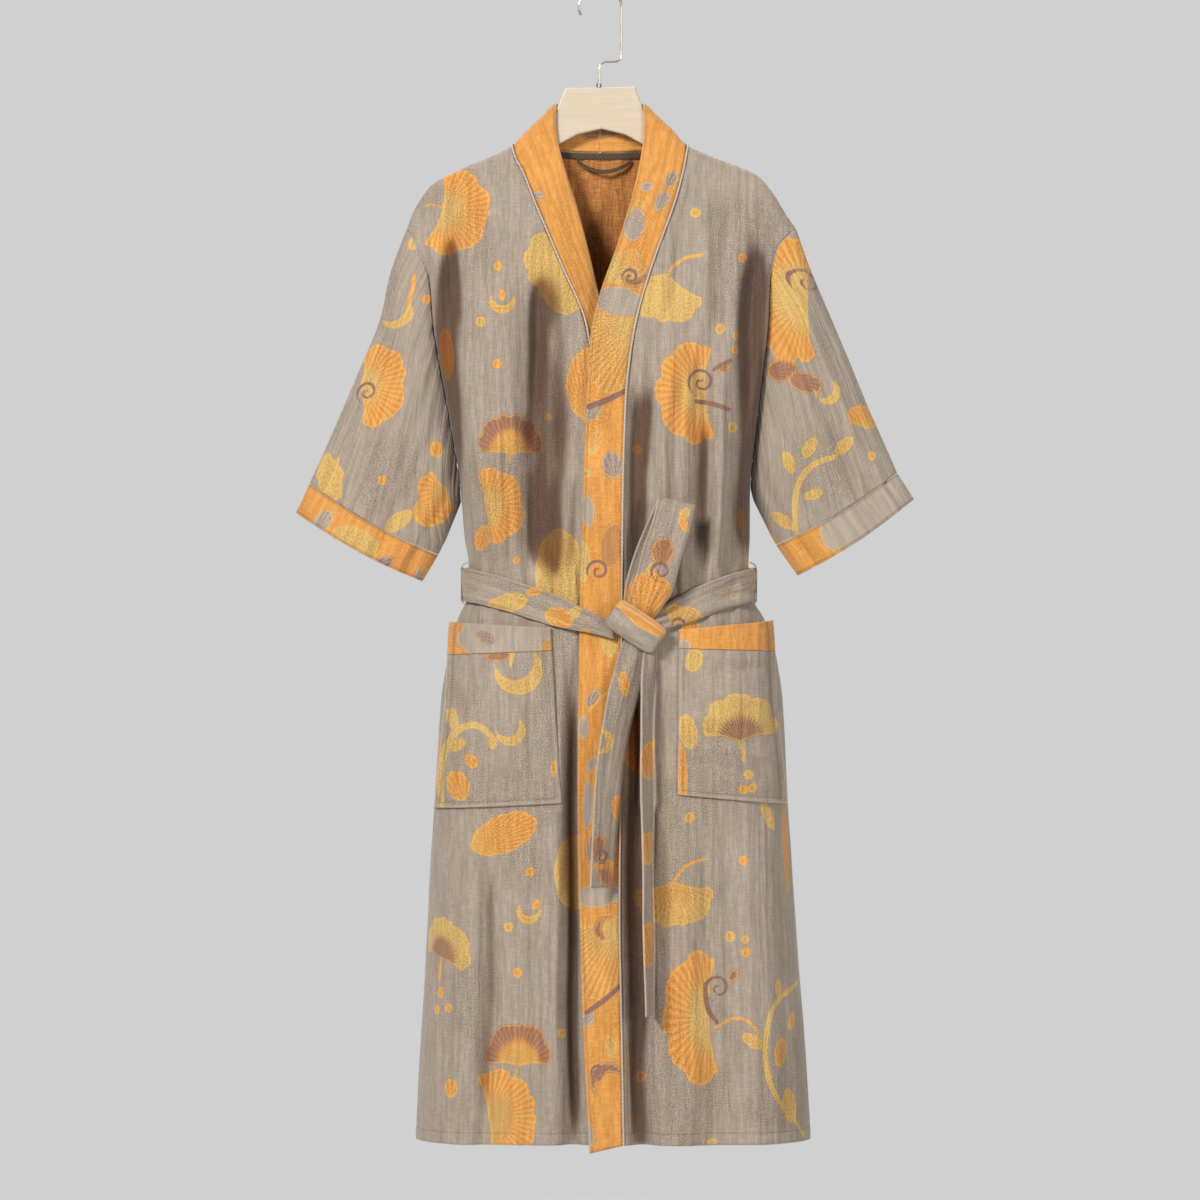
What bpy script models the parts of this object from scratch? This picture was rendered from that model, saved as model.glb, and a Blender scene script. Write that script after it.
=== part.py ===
"""Kimono robe with a tied belt, hanging on a flat hanger with a wire hook.

The origin is the inner top of the hook. Z is up and the front of the robe faces -Y.
Tables are in millimetres. A "drop" is a distance down from the origin.
"""

import math
from collections import namedtuple

import bpy
from mathutils import Vector

MM = 0.001

# Cloth
CLOTH_WALL = 1.6
BAND_WALL = 2.6
SEAM_HALF = 0.15
SEAM_GAP = 0.3
BAND_SEAM = 0.85
POCKET_SEAM = 0.5
PIPING_STAND = 0.65
PIPING_RADIUS = 1.2

# Belt. Each front run drops from its side seam to the knot by its slope.
BELT_WIDTH = 38.0
BELT_WALL = 2.4
BELT_DROP = 697.0
BELT_SEAT = 6.0
BELT_SIDE_SEAT = 7.5
BELT_LEFT_END = 16.0
BELT_RIGHT_END = 56.0
BELT_END_REACH = 55.0
BELT_LEFT_SLOPE = 54.0
BELT_RIGHT_SLOPE = 46.0
KNOT_BACK = 92.0
KNOT_CENTRE = Vector((42.0, -KNOT_BACK - 9.4, -747.0))
KNOT_LEAN = -34.0
BOW_LEAN = -14.0
KNOT_SIDES = 12

# Heights
NECK_DROP = 186.0
SHOULDER_TIP_DROP = 282.0
WAIST_DROP = 702.0
HEM_DROP = 1342.0
BACK_HEM_RISE = 4.0
COLLAR_BACK = 14.5

# Body depths
SHOULDER_CAP = 12.0
SHOULDER_BLEND = 100.0
ARMHOLE_HALF_DEPTH = 24.0
ARMHOLE_SEAM = 0.6
OVERLAP_LIFT = 8.0
GATHER_PITCH = 33.0
GATHER_LIFT = 2.2
GATHER_REACH = 75.0

# Hanger
BOARD_HALF = 6.0
BOARD_EDGE_ROUND = 2.0
WIRE_RADIUS = 1.3
HOOK_REACH = 24.7
HOOK_END_ANGLE = 205.0

Edge = namedtuple("Edge", "drop left right")
SIDE_EDGES = (
    Edge(282, -224.6, 228.0),
    Edge(305, -213.0, 207.0),
    Edge(340, -199.0, 198.5),
    Edge(399, -193.5, 195.0),
    Edge(439, -187.0, 190.5),
    Edge(508, -174.5, 182.5),
    Edge(573, -164.0, 175.5),
    Edge(601, -161.5, 174.5),
    Edge(640, -158.0, 174.5),
    Edge(676, -153.0, 173.0),
    Edge(705, -153.0, 174.0),
    Edge(741, -167.0, 193.0),
    Edge(780, -177.0, 205.0),
    Edge(834, -185.0, 213.0),
    Edge(951, -193.0, 219.0),
    Edge(1021, -197.5, 223.5),
    Edge(1127, -202.5, 230.5),
    Edge(1257, -210.5, 241.0),
    Edge(1342, -214.7, 245.7),
)

Shoulder = namedtuple("Shoulder", "across drop")
SHOULDER_LINE = (
    Shoulder(-224.6, 282),
    Shoulder(-217.6, 263),
    Shoulder(-208.0, 247),
    Shoulder(-196.6, 232),
    Shoulder(-165.0, 215),
    Shoulder(-102.5, 186),
    Shoulder(-52.0, 135),
    Shoulder(52.0, 135),
    Shoulder(102.5, 186),
    Shoulder(141.6, 203),
    Shoulder(183.7, 221),
    Shoulder(202.5, 243),
    Shoulder(220.0, 271),
    Shoulder(228.0, 282),
)

Depth = namedtuple("Depth", "drop front back")
DEPTHS = (
    Depth(186, 0, 6),
    Depth(250, 17, 14),
    Depth(330, 38, 28),
    Depth(420, 52, 40),
    Depth(520, 60, 46),
    Depth(620, 62, 46),
    Depth(702, 56, 40),
    Depth(780, 66, 48),
    Depth(950, 78, 60),
    Depth(1150, 88, 70),
    Depth(1342, 94, 76),
)

# The neck band runs from a front panel's edge (seam) to its own free edge.
Neck = namedtuple("Neck", "drop seam free free_drop sink")
UNDER_NECK = (
    Neck(186, -102.5, -52.0, 135, 0),
    Neck(190, -102.0, -52.0, 145, 0),
    Neck(200, -99.5, -51.5, 160, 0),
    Neck(216, -91.0, -50.0, 176, 0),
    Neck(254, -76.0, -44.0, 202, 0),
    Neck(325, -46.8, -25.0, 262, 6),
    Neck(397, -17.6, -4.0, 345, 14),
    Neck(440, -11.0, 14.0, 425, 4),
    Neck(486, -9.4, 30.0, 480, 0),
    Neck(600, -13.0, 32.0, 600, 0),
    Neck(780, -18.0, 28.0, 780, 0),
    Neck(951, -18.7, 28.0, 951, 0),
    Neck(1068, -16.4, 29.0, 1068, 0),
    Neck(1342, -8.0, 36.0, 1342, 0),
)
OVER_NECK = (
    Neck(186, 102.5, 52.0, 135, 0),
    Neck(190, 102.0, 52.0, 146, 0),
    Neck(201, 100.6, 51.5, 168, 0),
    Neck(225, 95.5, 49.0, 190, 0),
    Neck(256, 86.6, 43.0, 222, 0),
    Neck(340, 57.3, 20.0, 303, 0),
    Neck(390, 43.3, 0.0, 360, 0),
    Neck(430, 36.0, -11.5, 412, 0),
    Neck(486, 30.4, -15.5, 480, 0),
    Neck(600, 27.0, -20.0, 600, 0),
    Neck(717, 26.0, -23.4, 717, 0),
    Neck(928, 24.6, -25.7, 928, 0),
    Neck(1068, 23.4, -23.4, 1069, 0),
    Neck(1200, 25.5, -19.5, 1205, 0),
    Neck(1342, 28.0, -12.0, 1351, 0),
)

# Rows of a body panel: shares of the armhole's height, then drops of the skirt.
ARMHOLE_SHARES = (0.0, 0.004, 0.014, 0.04, 0.09, 0.18, 0.3, 0.44, 0.58, 0.72, 0.85, 0.94, 1.0)
SKIRT_DROPS = (635, 665, 690, 715, 741, 780, 830, 890, 951, 1020, 1090, 1160, 1230, 1290, HEM_DROP)
WAIST_INNER_DROP = 598.0
FRONT_COLUMNS = tuple(step / 15 for step in range(15)) + (0.966, 0.988, 1.0)
BACK_COLUMNS = (1.0, 0.988, 0.955, 0.9, 0.82, 0.72, 0.61, 0.5, 0.38, 0.25, 0.12)
HALF_NECK = (0.0, 0.015, 0.05, 0.12, 0.2, 0.3, 0.4)

# Each soft fold is a line down the cloth. Its lift is outward, so a valley is negative.
Fold = namedtuple("Fold", "top_across top_drop low_across low_drop lift half_width")
FRONT_FOLDS = (
    Fold(-78, 385, -66, 650, -7.0, 13),
    Fold(-112, 330, -106, 640, 4.0, 16),
    Fold(-140, 400, -128, 660, -3.5, 12),
    Fold(-40, 450, -42, 690, 3.5, 10),
    Fold(-38, 740, -33, 1342, -6.0, 10),
    Fold(-64, 975, -68, 1342, 4.0, 14),
    Fold(-100, 985, -108, 1342, -5.0, 14),
    Fold(-145, 985, -158, 1342, 5.0, 18),
    Fold(-182, 1010, -190, 1342, -4.0, 10),
    Fold(70, 420, 66, 690, 4.0, 14),
    Fold(112, 400, 104, 690, -6.0, 14),
    Fold(146, 380, 140, 680, 4.5, 13),
    Fold(48, 745, 52, 1342, -8.0, 14),
    Fold(84, 975, 88, 1342, 4.0, 14),
    Fold(128, 985, 134, 1342, -4.5, 15),
    Fold(170, 975, 184, 1342, 5.0, 16),
    Fold(205, 985, 221, 1342, -4.5, 11),
)
BACK_FOLDS = (
    Fold(-150, 330, -128, 680, -6.0, 15),
    Fold(-96, 300, -84, 690, 4.5, 18),
    Fold(-40, 350, -34, 690, -5.0, 16),
    Fold(18, 300, 20, 690, 4.5, 18),
    Fold(74, 360, 66, 690, -5.5, 15),
    Fold(150, 330, 132, 680, 5.0, 16),
    Fold(-150, 760, -172, 1342, 6.0, 20),
    Fold(-104, 745, -116, 1342, -7.0, 18),
    Fold(-52, 760, -58, 1342, 5.5, 18),
    Fold(-4, 745, 2, 1342, -6.5, 16),
    Fold(50, 760, 58, 1342, 6.0, 18),
    Fold(104, 745, 120, 1342, -7.0, 18),
    Fold(160, 760, 186, 1342, 6.0, 20),
)

# Stations of a sleeve from armhole to cuff: outer edge, inner edge and half depth.
Station = namedtuple("Station", "outer outer_drop inner inner_drop half_depth")
LEFT_SLEEVE = (
    Station(-244.5, 334.6, -166.0, 612, 38),
    Station(-257.0, 390.0, -170.5, 623, 43),
    Station(-280.0, 446.0, -175.0, 634, 43),
    Station(-303.0, 500.0, -179.5, 645, 40),
    Station(-322.0, 543.0, -184.0, 654, 37),
    Station(-338.5, 579.5, -188.5, 663, 34),
)
LEFT_CUFF = (
    Station(-338.8, 580.2, -188.9, 663.8, 34),
    Station(-346.5, 597.0, -198.0, 679, 33),
    Station(-354.5, 614.0, -207.0, 694, 33),
)
RIGHT_SLEEVE = (
    Station(244.5, 327.6, 178.5, 598, 38),
    Station(266.0, 379.0, 184.0, 610, 43),
    Station(289.0, 433.0, 189.5, 621, 43),
    Station(311.0, 487.0, 195.0, 632, 40),
    Station(330.0, 530.0, 200.0, 642, 37),
    Station(346.3, 567.0, 205.0, 651, 34),
)
RIGHT_CUFF = (
    Station(346.6, 567.7, 205.4, 651.8, 34),
    Station(356.5, 583.0, 218.0, 670, 33),
    Station(366.0, 598.0, 230.5, 687, 33),
)
SLEEVE_EDGE_BOW = 9.0
CUFF_SAG = 6.0

SleeveFold = namedtuple("SleeveFold", "share top_lift low_lift half_width")
SLEEVE_FOLDS = (
    SleeveFold(0.22, 0.0, -4.0, 0.07),
    SleeveFold(0.42, 2.0, 4.0, 0.08),
    SleeveFold(0.62, -3.0, -4.5, 0.08),
    SleeveFold(0.8, 3.0, 3.0, 0.07),
)

Corner = namedtuple("Corner", "across drop")
Pocket = namedtuple("Pocket", "outer_top inner_top outer_low inner_low band")
LEFT_POCKET = Pocket(Corner(-167.0, 741), Corner(-57.0, 754), Corner(-190.0, 957), Corner(-44.5, 950), 37)
RIGHT_POCKET = Pocket(Corner(193.0, 739), Corner(91.0, 752), Corner(215.0, 952), Corner(89.0, 940), 30)
POCKET_COLUMNS = 9
POCKET_ROWS = 6
POCKET_SEAT = 2.8
POCKET_BULGE = 8.0
POCKET_MOUTH = 5.5

Board = namedtuple("Board", "across drop")
BOARD_OUTLINE = (
    Board(-41.0, 119.3),
    Board(41.0, 117.5),
    Board(50.5, 144.5),
    Board(98.0, 191.2),
    Board(141.6, 206.5),
    Board(182.0, 228.0),
    Board(189.0, 238.0),
    Board(188.0, 246.0),
    Board(140.0, 233.0),
    Board(96.0, 214.0),
    Board(50.3, 185.0),
    Board(30.0, 173.5),
    Board(2.0, 166.5),
    Board(-26.0, 173.0),
    Board(-47.5, 184.5),
    Board(-96.0, 214.0),
    Board(-140.0, 229.0),
    Board(-184.0, 246.0),
    Board(-193.0, 240.0),
    Board(-189.0, 232.0),
    Board(-165.0, 219.0),
    Board(-98.0, 191.2),
    Board(-51.5, 146.0),
)


def smooth(value):
    """Returns a soft step that is 0 up to 0 and 1 from 1 on."""
    value = min(max(value, 0.0), 1.0)
    return value * value * (3 - 2 * value)


def mix(start, end, share):
    return start + (end - start) * share


def read(table, column, key, key_column="drop"):
    """Reads a column of a table at any key, on a smooth curve with no overshoot between rows."""
    keys = [getattr(row, key_column) for row in table]
    values = [getattr(row, column) for row in table]
    if key <= keys[0]:
        return values[0]
    if key >= keys[-1]:
        return values[-1]
    at = max(i for i in range(len(keys) - 1) if keys[i] <= key)
    slopes = [(values[i + 1] - values[i]) / (keys[i + 1] - keys[i]) for i in range(len(keys) - 1)]

    def tangent(i):
        if i in (0, len(slopes)):
            return slopes[min(i, len(slopes) - 1)]
        before, after = slopes[i - 1], slopes[i]
        return 0.0 if before * after <= 0 else 2 * before * after / (before + after)

    span = keys[at + 1] - keys[at]
    t = (key - keys[at]) / span
    start = values[at] + t * t * (3 - 2 * t) * (values[at + 1] - values[at])
    return start + span * t * (1 - t) * ((1 - t) * tangent(at) - t * tangent(at + 1))


def shoulder_drop(across):
    return read(SHOULDER_LINE, "drop", across, "across")


def cap(below):
    """Half depth of the cloth where it turns over the hanger, this far below the shoulder line."""
    share = min(max(below, 0.0) / SHOULDER_CAP, 1.0)
    return SHOULDER_CAP * math.sqrt(1 - (1 - share) ** 2)


def turn(from_edge, width):
    """A quarter round: 0 at the side edge and 1 from this width inward."""
    share = min(max(from_edge, 0.0) / width, 1.0)
    return math.sqrt(1 - (1 - share) ** 2)


def underarm_drop(side):
    return 601.0 if side < 0 else 585.0


def edge_depth(side, drop):
    """Half depth of a side edge: the armhole's opening, or nothing along the side seam."""
    height = underarm_drop(side) - SHOULDER_TIP_DROP
    share = min(max((drop - SHOULDER_TIP_DROP) / height, 0.0), 1.0)
    return SEAM_HALF + ARMHOLE_HALF_DEPTH * math.sqrt(max(math.sin(math.pi * share), 0.0))


def side_across(side, drop):
    return read(SIDE_EDGES, "left" if side < 0 else "right", drop)


def fold_lift(folds, across, drop):
    total = 0.0
    for fold in folds:
        length = fold.low_drop - fold.top_drop
        share = (drop - fold.top_drop) / length
        centre = mix(fold.top_across, fold.low_across, share)
        ends = smooth(share * 4 + 0.1) * (1.0 if fold.low_drop >= HEM_DROP else smooth((1 - share) * 4 + 0.1))
        total += fold.lift * ends * math.exp(-(((across - centre) / fold.half_width) ** 2))
    return total


def gather_lift(across, drop):
    """Small upright gathers that the belt draws in at the waist."""
    near = math.exp(-(((drop - WAIST_DROP) / GATHER_REACH) ** 2))
    return GATHER_LIFT * near * math.cos(2 * math.pi * across / GATHER_PITCH)


def depth(across, drop, face, top=None, folded=True):
    """How far the cloth lies from the middle plane. The face is "front" or "back"."""
    side = -1 if across < 0 else 1
    below = drop - (shoulder_drop(across) if top is None else top)
    from_edge = abs(side_across(side, max(drop, SHOULDER_TIP_DROP)) - across)
    skirt = smooth((drop - 560) / 200)
    body = read(DEPTHS, face, drop) * smooth(below / SHOULDER_BLEND)
    near = turn(from_edge, mix(34.0, 62.0, skirt))
    wide = turn(from_edge, mix(150.0, 170.0, skirt))
    inward = mix(near, wide, 0.3)
    full = cap(below) + body
    if folded:
        room = smooth(below / 60) * near
        folds = FRONT_FOLDS if face == "front" else BACK_FOLDS
        full += room * (fold_lift(folds, across, drop) + gather_lift(across, drop))
    return edge_depth(side, drop) * (1 - inward) + full * inward


def over_lift(across, drop):
    """How far the over front stands off the under front."""
    return OVERLAP_LIFT * smooth((drop - 230) / 150) * smooth((215 - across) / 150)


def panel_rows(side):
    """(outer drop, inner drop) for each row of a body panel."""
    height = underarm_drop(side) - SHOULDER_TIP_DROP
    rows = [
        (SHOULDER_TIP_DROP + share * height, NECK_DROP + share * (WAIST_INNER_DROP - NECK_DROP))
        for share in ARMHOLE_SHARES
    ]
    return rows + [(drop, drop) for drop in SKIRT_DROPS]


def panel_place(side, share, row, seam_across, seam_drop):
    """(across, drop, top) of a point this share of the way from the seam to the side edge."""
    outer_drop = panel_rows(side)[row][0]
    across = mix(seam_across, side_across(side, outer_drop), share)
    level = mix(seam_drop, outer_drop, share)
    top_across = mix(side * 102.5, side_across(side, SHOULDER_TIP_DROP), share)
    top = shoulder_drop(top_across)
    straight = mix(NECK_DROP, SHOULDER_TIP_DROP, share)
    fade = max(0.0, 1 - (outer_drop - SHOULDER_TIP_DROP) / 150) ** 2
    return across, level + fade * (top - straight), top


def neck_table(side):
    return UNDER_NECK if side < 0 else OVER_NECK


def front_point(side, share, row):
    seam_drop = panel_rows(side)[row][1]
    seam = read(neck_table(side), "seam", seam_drop)
    across, drop, top = panel_place(side, share, row, seam, seam_drop)
    out = SEAM_HALF if row == 0 else depth(across, drop, "front", top)
    if side > 0:
        out += over_lift(across, drop)
    return Vector((across, -out, -drop))


def front_surface(side, across, drop, out, folded=True):
    """A point this far outside a front panel, below the underarm."""
    away = depth(across, drop, "front", folded=folded) + out
    if side > 0:
        away += over_lift(across, drop)
    return Vector((across, -away, -drop))


def back_neck(share):
    """(across, drop) of the back neck seam, from the left neck point to the right one."""
    across = mix(-102.5, 102.5, share)
    return across, NECK_DROP + 7 * (1 - (across / 102.5) ** 2)


def finish(obj, name, colour, roughness, metallic, collection):
    """Names an object, puts it in its collection and gives it its own plain material."""
    material = bpy.data.materials.new(name + "_finish")
    material.use_nodes = True
    shader = material.node_tree.nodes["Principled BSDF"]
    shader.inputs["Base Color"].default_value = (*colour, 1)
    shader.inputs["Roughness"].default_value = roughness
    shader.inputs["Metallic"].default_value = metallic
    obj.name = name
    obj.data.name = name
    obj.data.materials.clear()
    obj.data.materials.append(material)
    for owner in list(obj.users_collection):
        owner.objects.unlink(obj)
    collection.objects.link(obj)
    return obj


def loft(rows, closed=False):
    """An open surface through rows of points in millimetres. A closed one joins each row's ends."""
    width = len(rows[0])
    points = [point * MM for row in rows for point in row]
    faces = []
    for row in range(len(rows) - 1):
        for column in range(width if closed else width - 1):
            after = (column + 1) % width
            low, high = row * width, (row + 1) * width
            faces.append((low + column, low + after, high + after, high + column))
    mesh = bpy.data.meshes.new("loft")
    mesh.from_pydata(points, [], faces)
    mesh.update()
    return bpy.data.objects.new("loft", mesh)


def thicken(obj, wall):
    """Gives an open surface its wall, inward from its face normals."""
    modifier = obj.modifiers.new("wall", "SOLIDIFY")
    modifier.thickness = wall * MM
    modifier.offset = -1
    modifier.use_even_offset = False
    obj.data.shade_smooth()
    return obj


def bake(obj):
    """Swaps an object's mesh for the one its modifiers make."""
    bpy.context.scene.collection.objects.link(obj)
    graph = bpy.context.evaluated_depsgraph_get()
    mesh = bpy.data.meshes.new_from_object(obj.evaluated_get(graph))
    obj.modifiers.clear()
    obj.data = mesh
    return obj


def keep_to_side(obj, forward):
    """Stops a panel's wall at the seam plane that it shares with its neighbour."""
    limit = SEAM_HALF * MM
    for vertex in obj.data.vertices:
        vertex.co.y = min(vertex.co.y, -limit) if forward else max(vertex.co.y, limit)
    return obj


def reversed_rows(rows):
    return [list(reversed(row)) for row in rows]


def front_panel(side):
    rows = [
        [front_point(side, share, row) for share in FRONT_COLUMNS]
        for row in range(len(panel_rows(side)))
    ]
    rows = rows if side < 0 else reversed_rows(rows)
    return keep_to_side(bake(thicken(loft(rows), CLOTH_WALL)), True)


def back_columns():
    """(side, share of the panel, share of the neck) for each column of the back, left to right."""
    neck = HALF_NECK + (0.5,) + tuple(1 - share for share in reversed(HALF_NECK))
    left = [(-1, share, 0.0) for share in BACK_COLUMNS]
    right = [(1, share, 1.0) for share in reversed(BACK_COLUMNS)]
    return left + [(0, 0.0, share) for share in neck] + right


def back_point(column, row):
    side, share, neck_share = column
    ruling = side or -1
    outer_drop, seam_drop = panel_rows(ruling)[row]
    neck_across, neck_drop = back_neck(neck_share)
    start_drop = mix(neck_drop, HEM_DROP, (seam_drop - NECK_DROP) / (HEM_DROP - NECK_DROP))
    if side:
        across, drop, top = panel_place(side, share, row, neck_across, start_drop)
        out = SEAM_HALF if row == 0 else depth(across, drop, "back", top)
    else:
        across, drop = neck_across, start_drop
        out = depth(across, drop, "back")
        if row == 0 and neck_share in (0.0, 1.0):
            out = SEAM_HALF
    drop -= BACK_HEM_RISE * smooth((drop - 1290) / 52)
    return Vector((across, out, -drop))


def back_panel():
    columns = back_columns()
    rows = [[back_point(column, row) for column in columns] for row in range(len(panel_rows(-1)))]
    return keep_to_side(bake(thicken(loft(rows), CLOTH_WALL)), False)


def band_points(side, offset=0.0):
    """(seam point, free point) pairs of one half of the neck band, hem to centre back."""
    table = neck_table(side)
    pairs = []
    for row in reversed(range(len(panel_rows(side)))):
        drop = panel_rows(side)[row][1]
        seam = front_point(side, 0.0, row)
        free_across = read(table, "free", drop)
        free_drop = read(table, "free_drop", drop)
        inward = 1 if free_across > seam.x else -1
        out = depth(free_across, free_drop, "front") if row else SEAM_HALF
        out += over_lift(free_across, free_drop) if side > 0 else 0.0
        out -= read(table, "sink", drop)
        seam = Vector((seam.x + inward * BAND_SEAM, seam.y if row else 0.0, seam.z + (0.0 if row else BAND_SEAM)))
        free = Vector((free_across, -out if row else 0.0, -free_drop))
        pairs.append((seam, free))
    for share in HALF_NECK[1:] + (0.5,):
        across, drop = back_neck(share if side < 0 else 1 - share)
        seam = Vector((across, depth(across, drop, "back"), -drop + BAND_SEAM))
        free_across = across * 52.0 / 102.5
        standing = COLLAR_BACK * math.sqrt(max(1 - (abs(free_across) / 52.0) ** 16, 0.0))
        free = Vector((free_across, standing, -(135 + 6 * (1 - (free_across / 52.0) ** 2))))
        if share == 0.5:
            seam.x = side * SEAM_GAP / 2
            free.x = side * SEAM_GAP / 2
        pairs.append((seam, free))
    return pairs


def neck_band(side):
    rows = [[pair[0], pair[0].lerp(pair[1], 0.5), pair[1]] for pair in band_points(side)]
    rows = rows if side < 0 else reversed_rows(rows)
    return thicken(loft(rows), BAND_WALL)


def tube(points, radius, resolution=1):
    """A wire through points in millimetres, with filled caps."""
    curve = bpy.data.curves.new("tube", "CURVE")
    curve.dimensions = "3D"
    curve.bevel_depth = radius * MM
    curve.bevel_resolution = resolution
    curve.use_fill_caps = True
    spline = curve.splines.new("POLY")
    spline.points.add(len(points) - 1)
    for knot, point in zip(spline.points, points):
        knot.co = (*(point * MM), 1)
    return bpy.data.objects.new("tube", curve)


def piping(side):
    """A cord in the seam between a front panel and its neck band."""
    stand = PIPING_RADIUS + PIPING_STAND
    pairs = band_points(side)
    points = []
    for index, (seam, free) in enumerate(pairs):
        run = pairs[min(index + 1, len(pairs) - 1)][0] - pairs[max(index - 1, 0)][0]
        out = run.cross(free - seam).normalized()
        outside = Vector((side * 4, seam.y, 8))
        points.append(seam + out * math.copysign(stand, out.dot(outside)))
    return tube(points, PIPING_RADIUS)


def sleeve_fold(share, down):
    lift = 0.0
    for fold in SLEEVE_FOLDS:
        height = mix(fold.top_lift, fold.low_lift, down)
        lift += height * math.exp(-(((share - fold.share) / fold.half_width) ** 2))
    return lift


def sleeve_ring(station, down, bow=0.0, sag=0.0):
    """A ring of points: down the front from the outer edge to the inner one, and back up."""
    front = []
    back = []
    for share in ARMHOLE_SHARES:
        across = mix(station.outer, station.inner, share)
        drop = mix(station.outer_drop, station.inner_drop, share) + sag * math.sin(math.pi * share)
        side = -1 if station.outer < 0 else 1
        across -= side * bow * math.sin(math.pi * share ** 0.6)
        thick = station.half_depth * math.sqrt(max(math.sin(math.pi * share), 0.0))
        fold = sleeve_fold(share, down) * smooth(share * (1 - share) * 8)
        front.append(Vector((across, -thick - fold, -drop)))
        back.append(Vector((across, thick + fold * 0.8, -drop)))
    return front + list(reversed(back[1:-1]))


def armhole_ring(side):
    """The sleeve's first ring, just off the armhole edges of front and back."""
    front = []
    back = []
    for share in ARMHOLE_SHARES:
        drop = mix(SHOULDER_TIP_DROP, underarm_drop(side), share)
        across = side_across(side, drop) + side * ARMHOLE_SEAM
        lower = drop + ARMHOLE_SEAM
        out = edge_depth(side, drop)
        front.append(Vector((across, -out, -lower)))
        back.append(Vector((across, out, -lower)))
    front[0].y = 0.0
    front[-1].y = 0.0
    return front + list(reversed(back[1:-1]))


def sleeve(side):
    stations = LEFT_SLEEVE if side < 0 else RIGHT_SLEEVE
    rings = [armhole_ring(side)]
    for index, station in enumerate(stations):
        down = (index + 1) / len(stations)
        rings.append(sleeve_ring(station, down, SLEEVE_EDGE_BOW * (1 - down) ** 2, CUFF_SAG * down * down))
    rings = rings if side > 0 else reversed_rows(rings)
    return thicken(loft(rings, closed=True), CLOTH_WALL)


def cuff(side):
    stations = LEFT_CUFF if side < 0 else RIGHT_CUFF
    rings = [sleeve_ring(station, 1.0, sag=CUFF_SAG) for station in stations]
    rings = rings if side > 0 else reversed_rows(rings)
    return thicken(loft(rings, closed=True), CLOTH_WALL)


def pocket_corner(pocket, across_share, down_share):
    top = mix(pocket.outer_top.across, pocket.inner_top.across, across_share)
    low = mix(pocket.outer_low.across, pocket.inner_low.across, across_share)
    top_drop = mix(pocket.outer_top.drop, pocket.inner_top.drop, across_share)
    low_drop = mix(pocket.outer_low.drop, pocket.inner_low.drop, across_share)
    return mix(top, low, down_share), mix(top_drop, low_drop, down_share)


def pocket_point(side, pocket, across_share, down_share):
    across, drop = pocket_corner(pocket, across_share, down_share)
    edge = side_across(side, drop)
    inside = min(abs(across), abs(edge) - 1.5) * side
    bulge = POCKET_BULGE * math.sin(math.pi * across_share) ** 0.7 * (1 - down_share ** 3)
    mouth = POCKET_MOUTH * (1 - smooth(down_share / 0.5)) * (1 - across_share ** 4)
    point = front_surface(side, inside, drop, 0.0, folded=False)
    ahead = front_surface(side, inside - side, drop, 0.0, folded=False)
    normal = Vector((ahead.y - point.y, point.x - ahead.x, 0)).normalized()
    normal = normal if normal.y < 0 else -normal
    return point + normal * (POCKET_SEAT + bulge + mouth)


def pocket_share(pocket, drop_length):
    return drop_length / (pocket.outer_low.drop - pocket.outer_top.drop)


def pocket_panel(side, start, end):
    """The stretch of a pocket between two shares of its height."""
    pocket = LEFT_POCKET if side < 0 else RIGHT_POCKET
    steps = max(2, round(POCKET_ROWS * (end - start)))
    rows = []
    for row in range(steps + 1):
        down = mix(start, end, row / steps)
        rows.append([
            pocket_point(side, pocket, (column / (POCKET_COLUMNS - 1)) ** 1.5, down)
            for column in range(POCKET_COLUMNS)
        ])
    rows = rows if side > 0 else reversed_rows(rows)
    return thicken(loft(rows), CLOTH_WALL)


def pocket_body(side):
    pocket = LEFT_POCKET if side < 0 else RIGHT_POCKET
    return pocket_panel(side, pocket_share(pocket, pocket.band + POCKET_SEAM), 1.0)


def pocket_band(side):
    pocket = LEFT_POCKET if side < 0 else RIGHT_POCKET
    return pocket_panel(side, 0.0, pocket_share(pocket, pocket.band))



def belt_point(side, face, share, height):
    """A point of the belt: the share runs from its inner end to the side seam."""
    end = BELT_LEFT_END if side < 0 else BELT_RIGHT_END
    edge = side_across(side, BELT_DROP)
    if face == "front":
        across = mix(end, edge, share)
        fall = (BELT_LEFT_SLOPE if side < 0 else BELT_RIGHT_SLOPE) * (1 - share) ** 1.1
    else:
        across = mix(0.0, edge, share)
        fall = 0.0
    drop = BELT_DROP + fall
    inside = min(abs(across), abs(edge) - 0.6) * (1 if across > 0 else -1)
    away = depth(inside, drop + height, face, folded=False) + BELT_SEAT
    if face == "front":
        away += over_lift(across, drop) if side > 0 else OVERLAP_LIFT * smooth((across + 60) / 34)
        near_knot = 1 - smooth(abs(across - end) / BELT_END_REACH)
        away = mix(away, KNOT_BACK - SEAM_GAP, near_knot)
    spread = 1 + BELT_SIDE_SEAT / abs(edge) * smooth((share - 0.75) / 0.25)
    facing = -1 if face == "front" else 1
    if share > 0.999:
        return Vector((edge + side * BELT_SIDE_SEAT, 0, -drop - height))
    return Vector((across * spread, facing * away, -drop - height))


def belt_wrap():
    shares = [0.0, 0.12, 0.24, 0.36, 0.48, 0.6, 0.7, 0.79, 0.86, 0.92, 0.96, 0.985, 0.997]
    path = [(-1, "front", share) for share in shares]
    path += [(-1, "front", 1.0)]
    path += [(-1, "back", share) for share in reversed(shares)]
    path += [(1, "back", share) for share in shares[1:]]
    path += [(1, "front", 1.0)]
    path += [(1, "front", share) for share in reversed(shares)]
    half = BELT_WIDTH / 2
    rows = [[belt_point(*place, height) for height in (-half, 0, half)] for place in path]
    return thicken(loft(reversed_rows(rows)), BELT_WALL)


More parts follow.
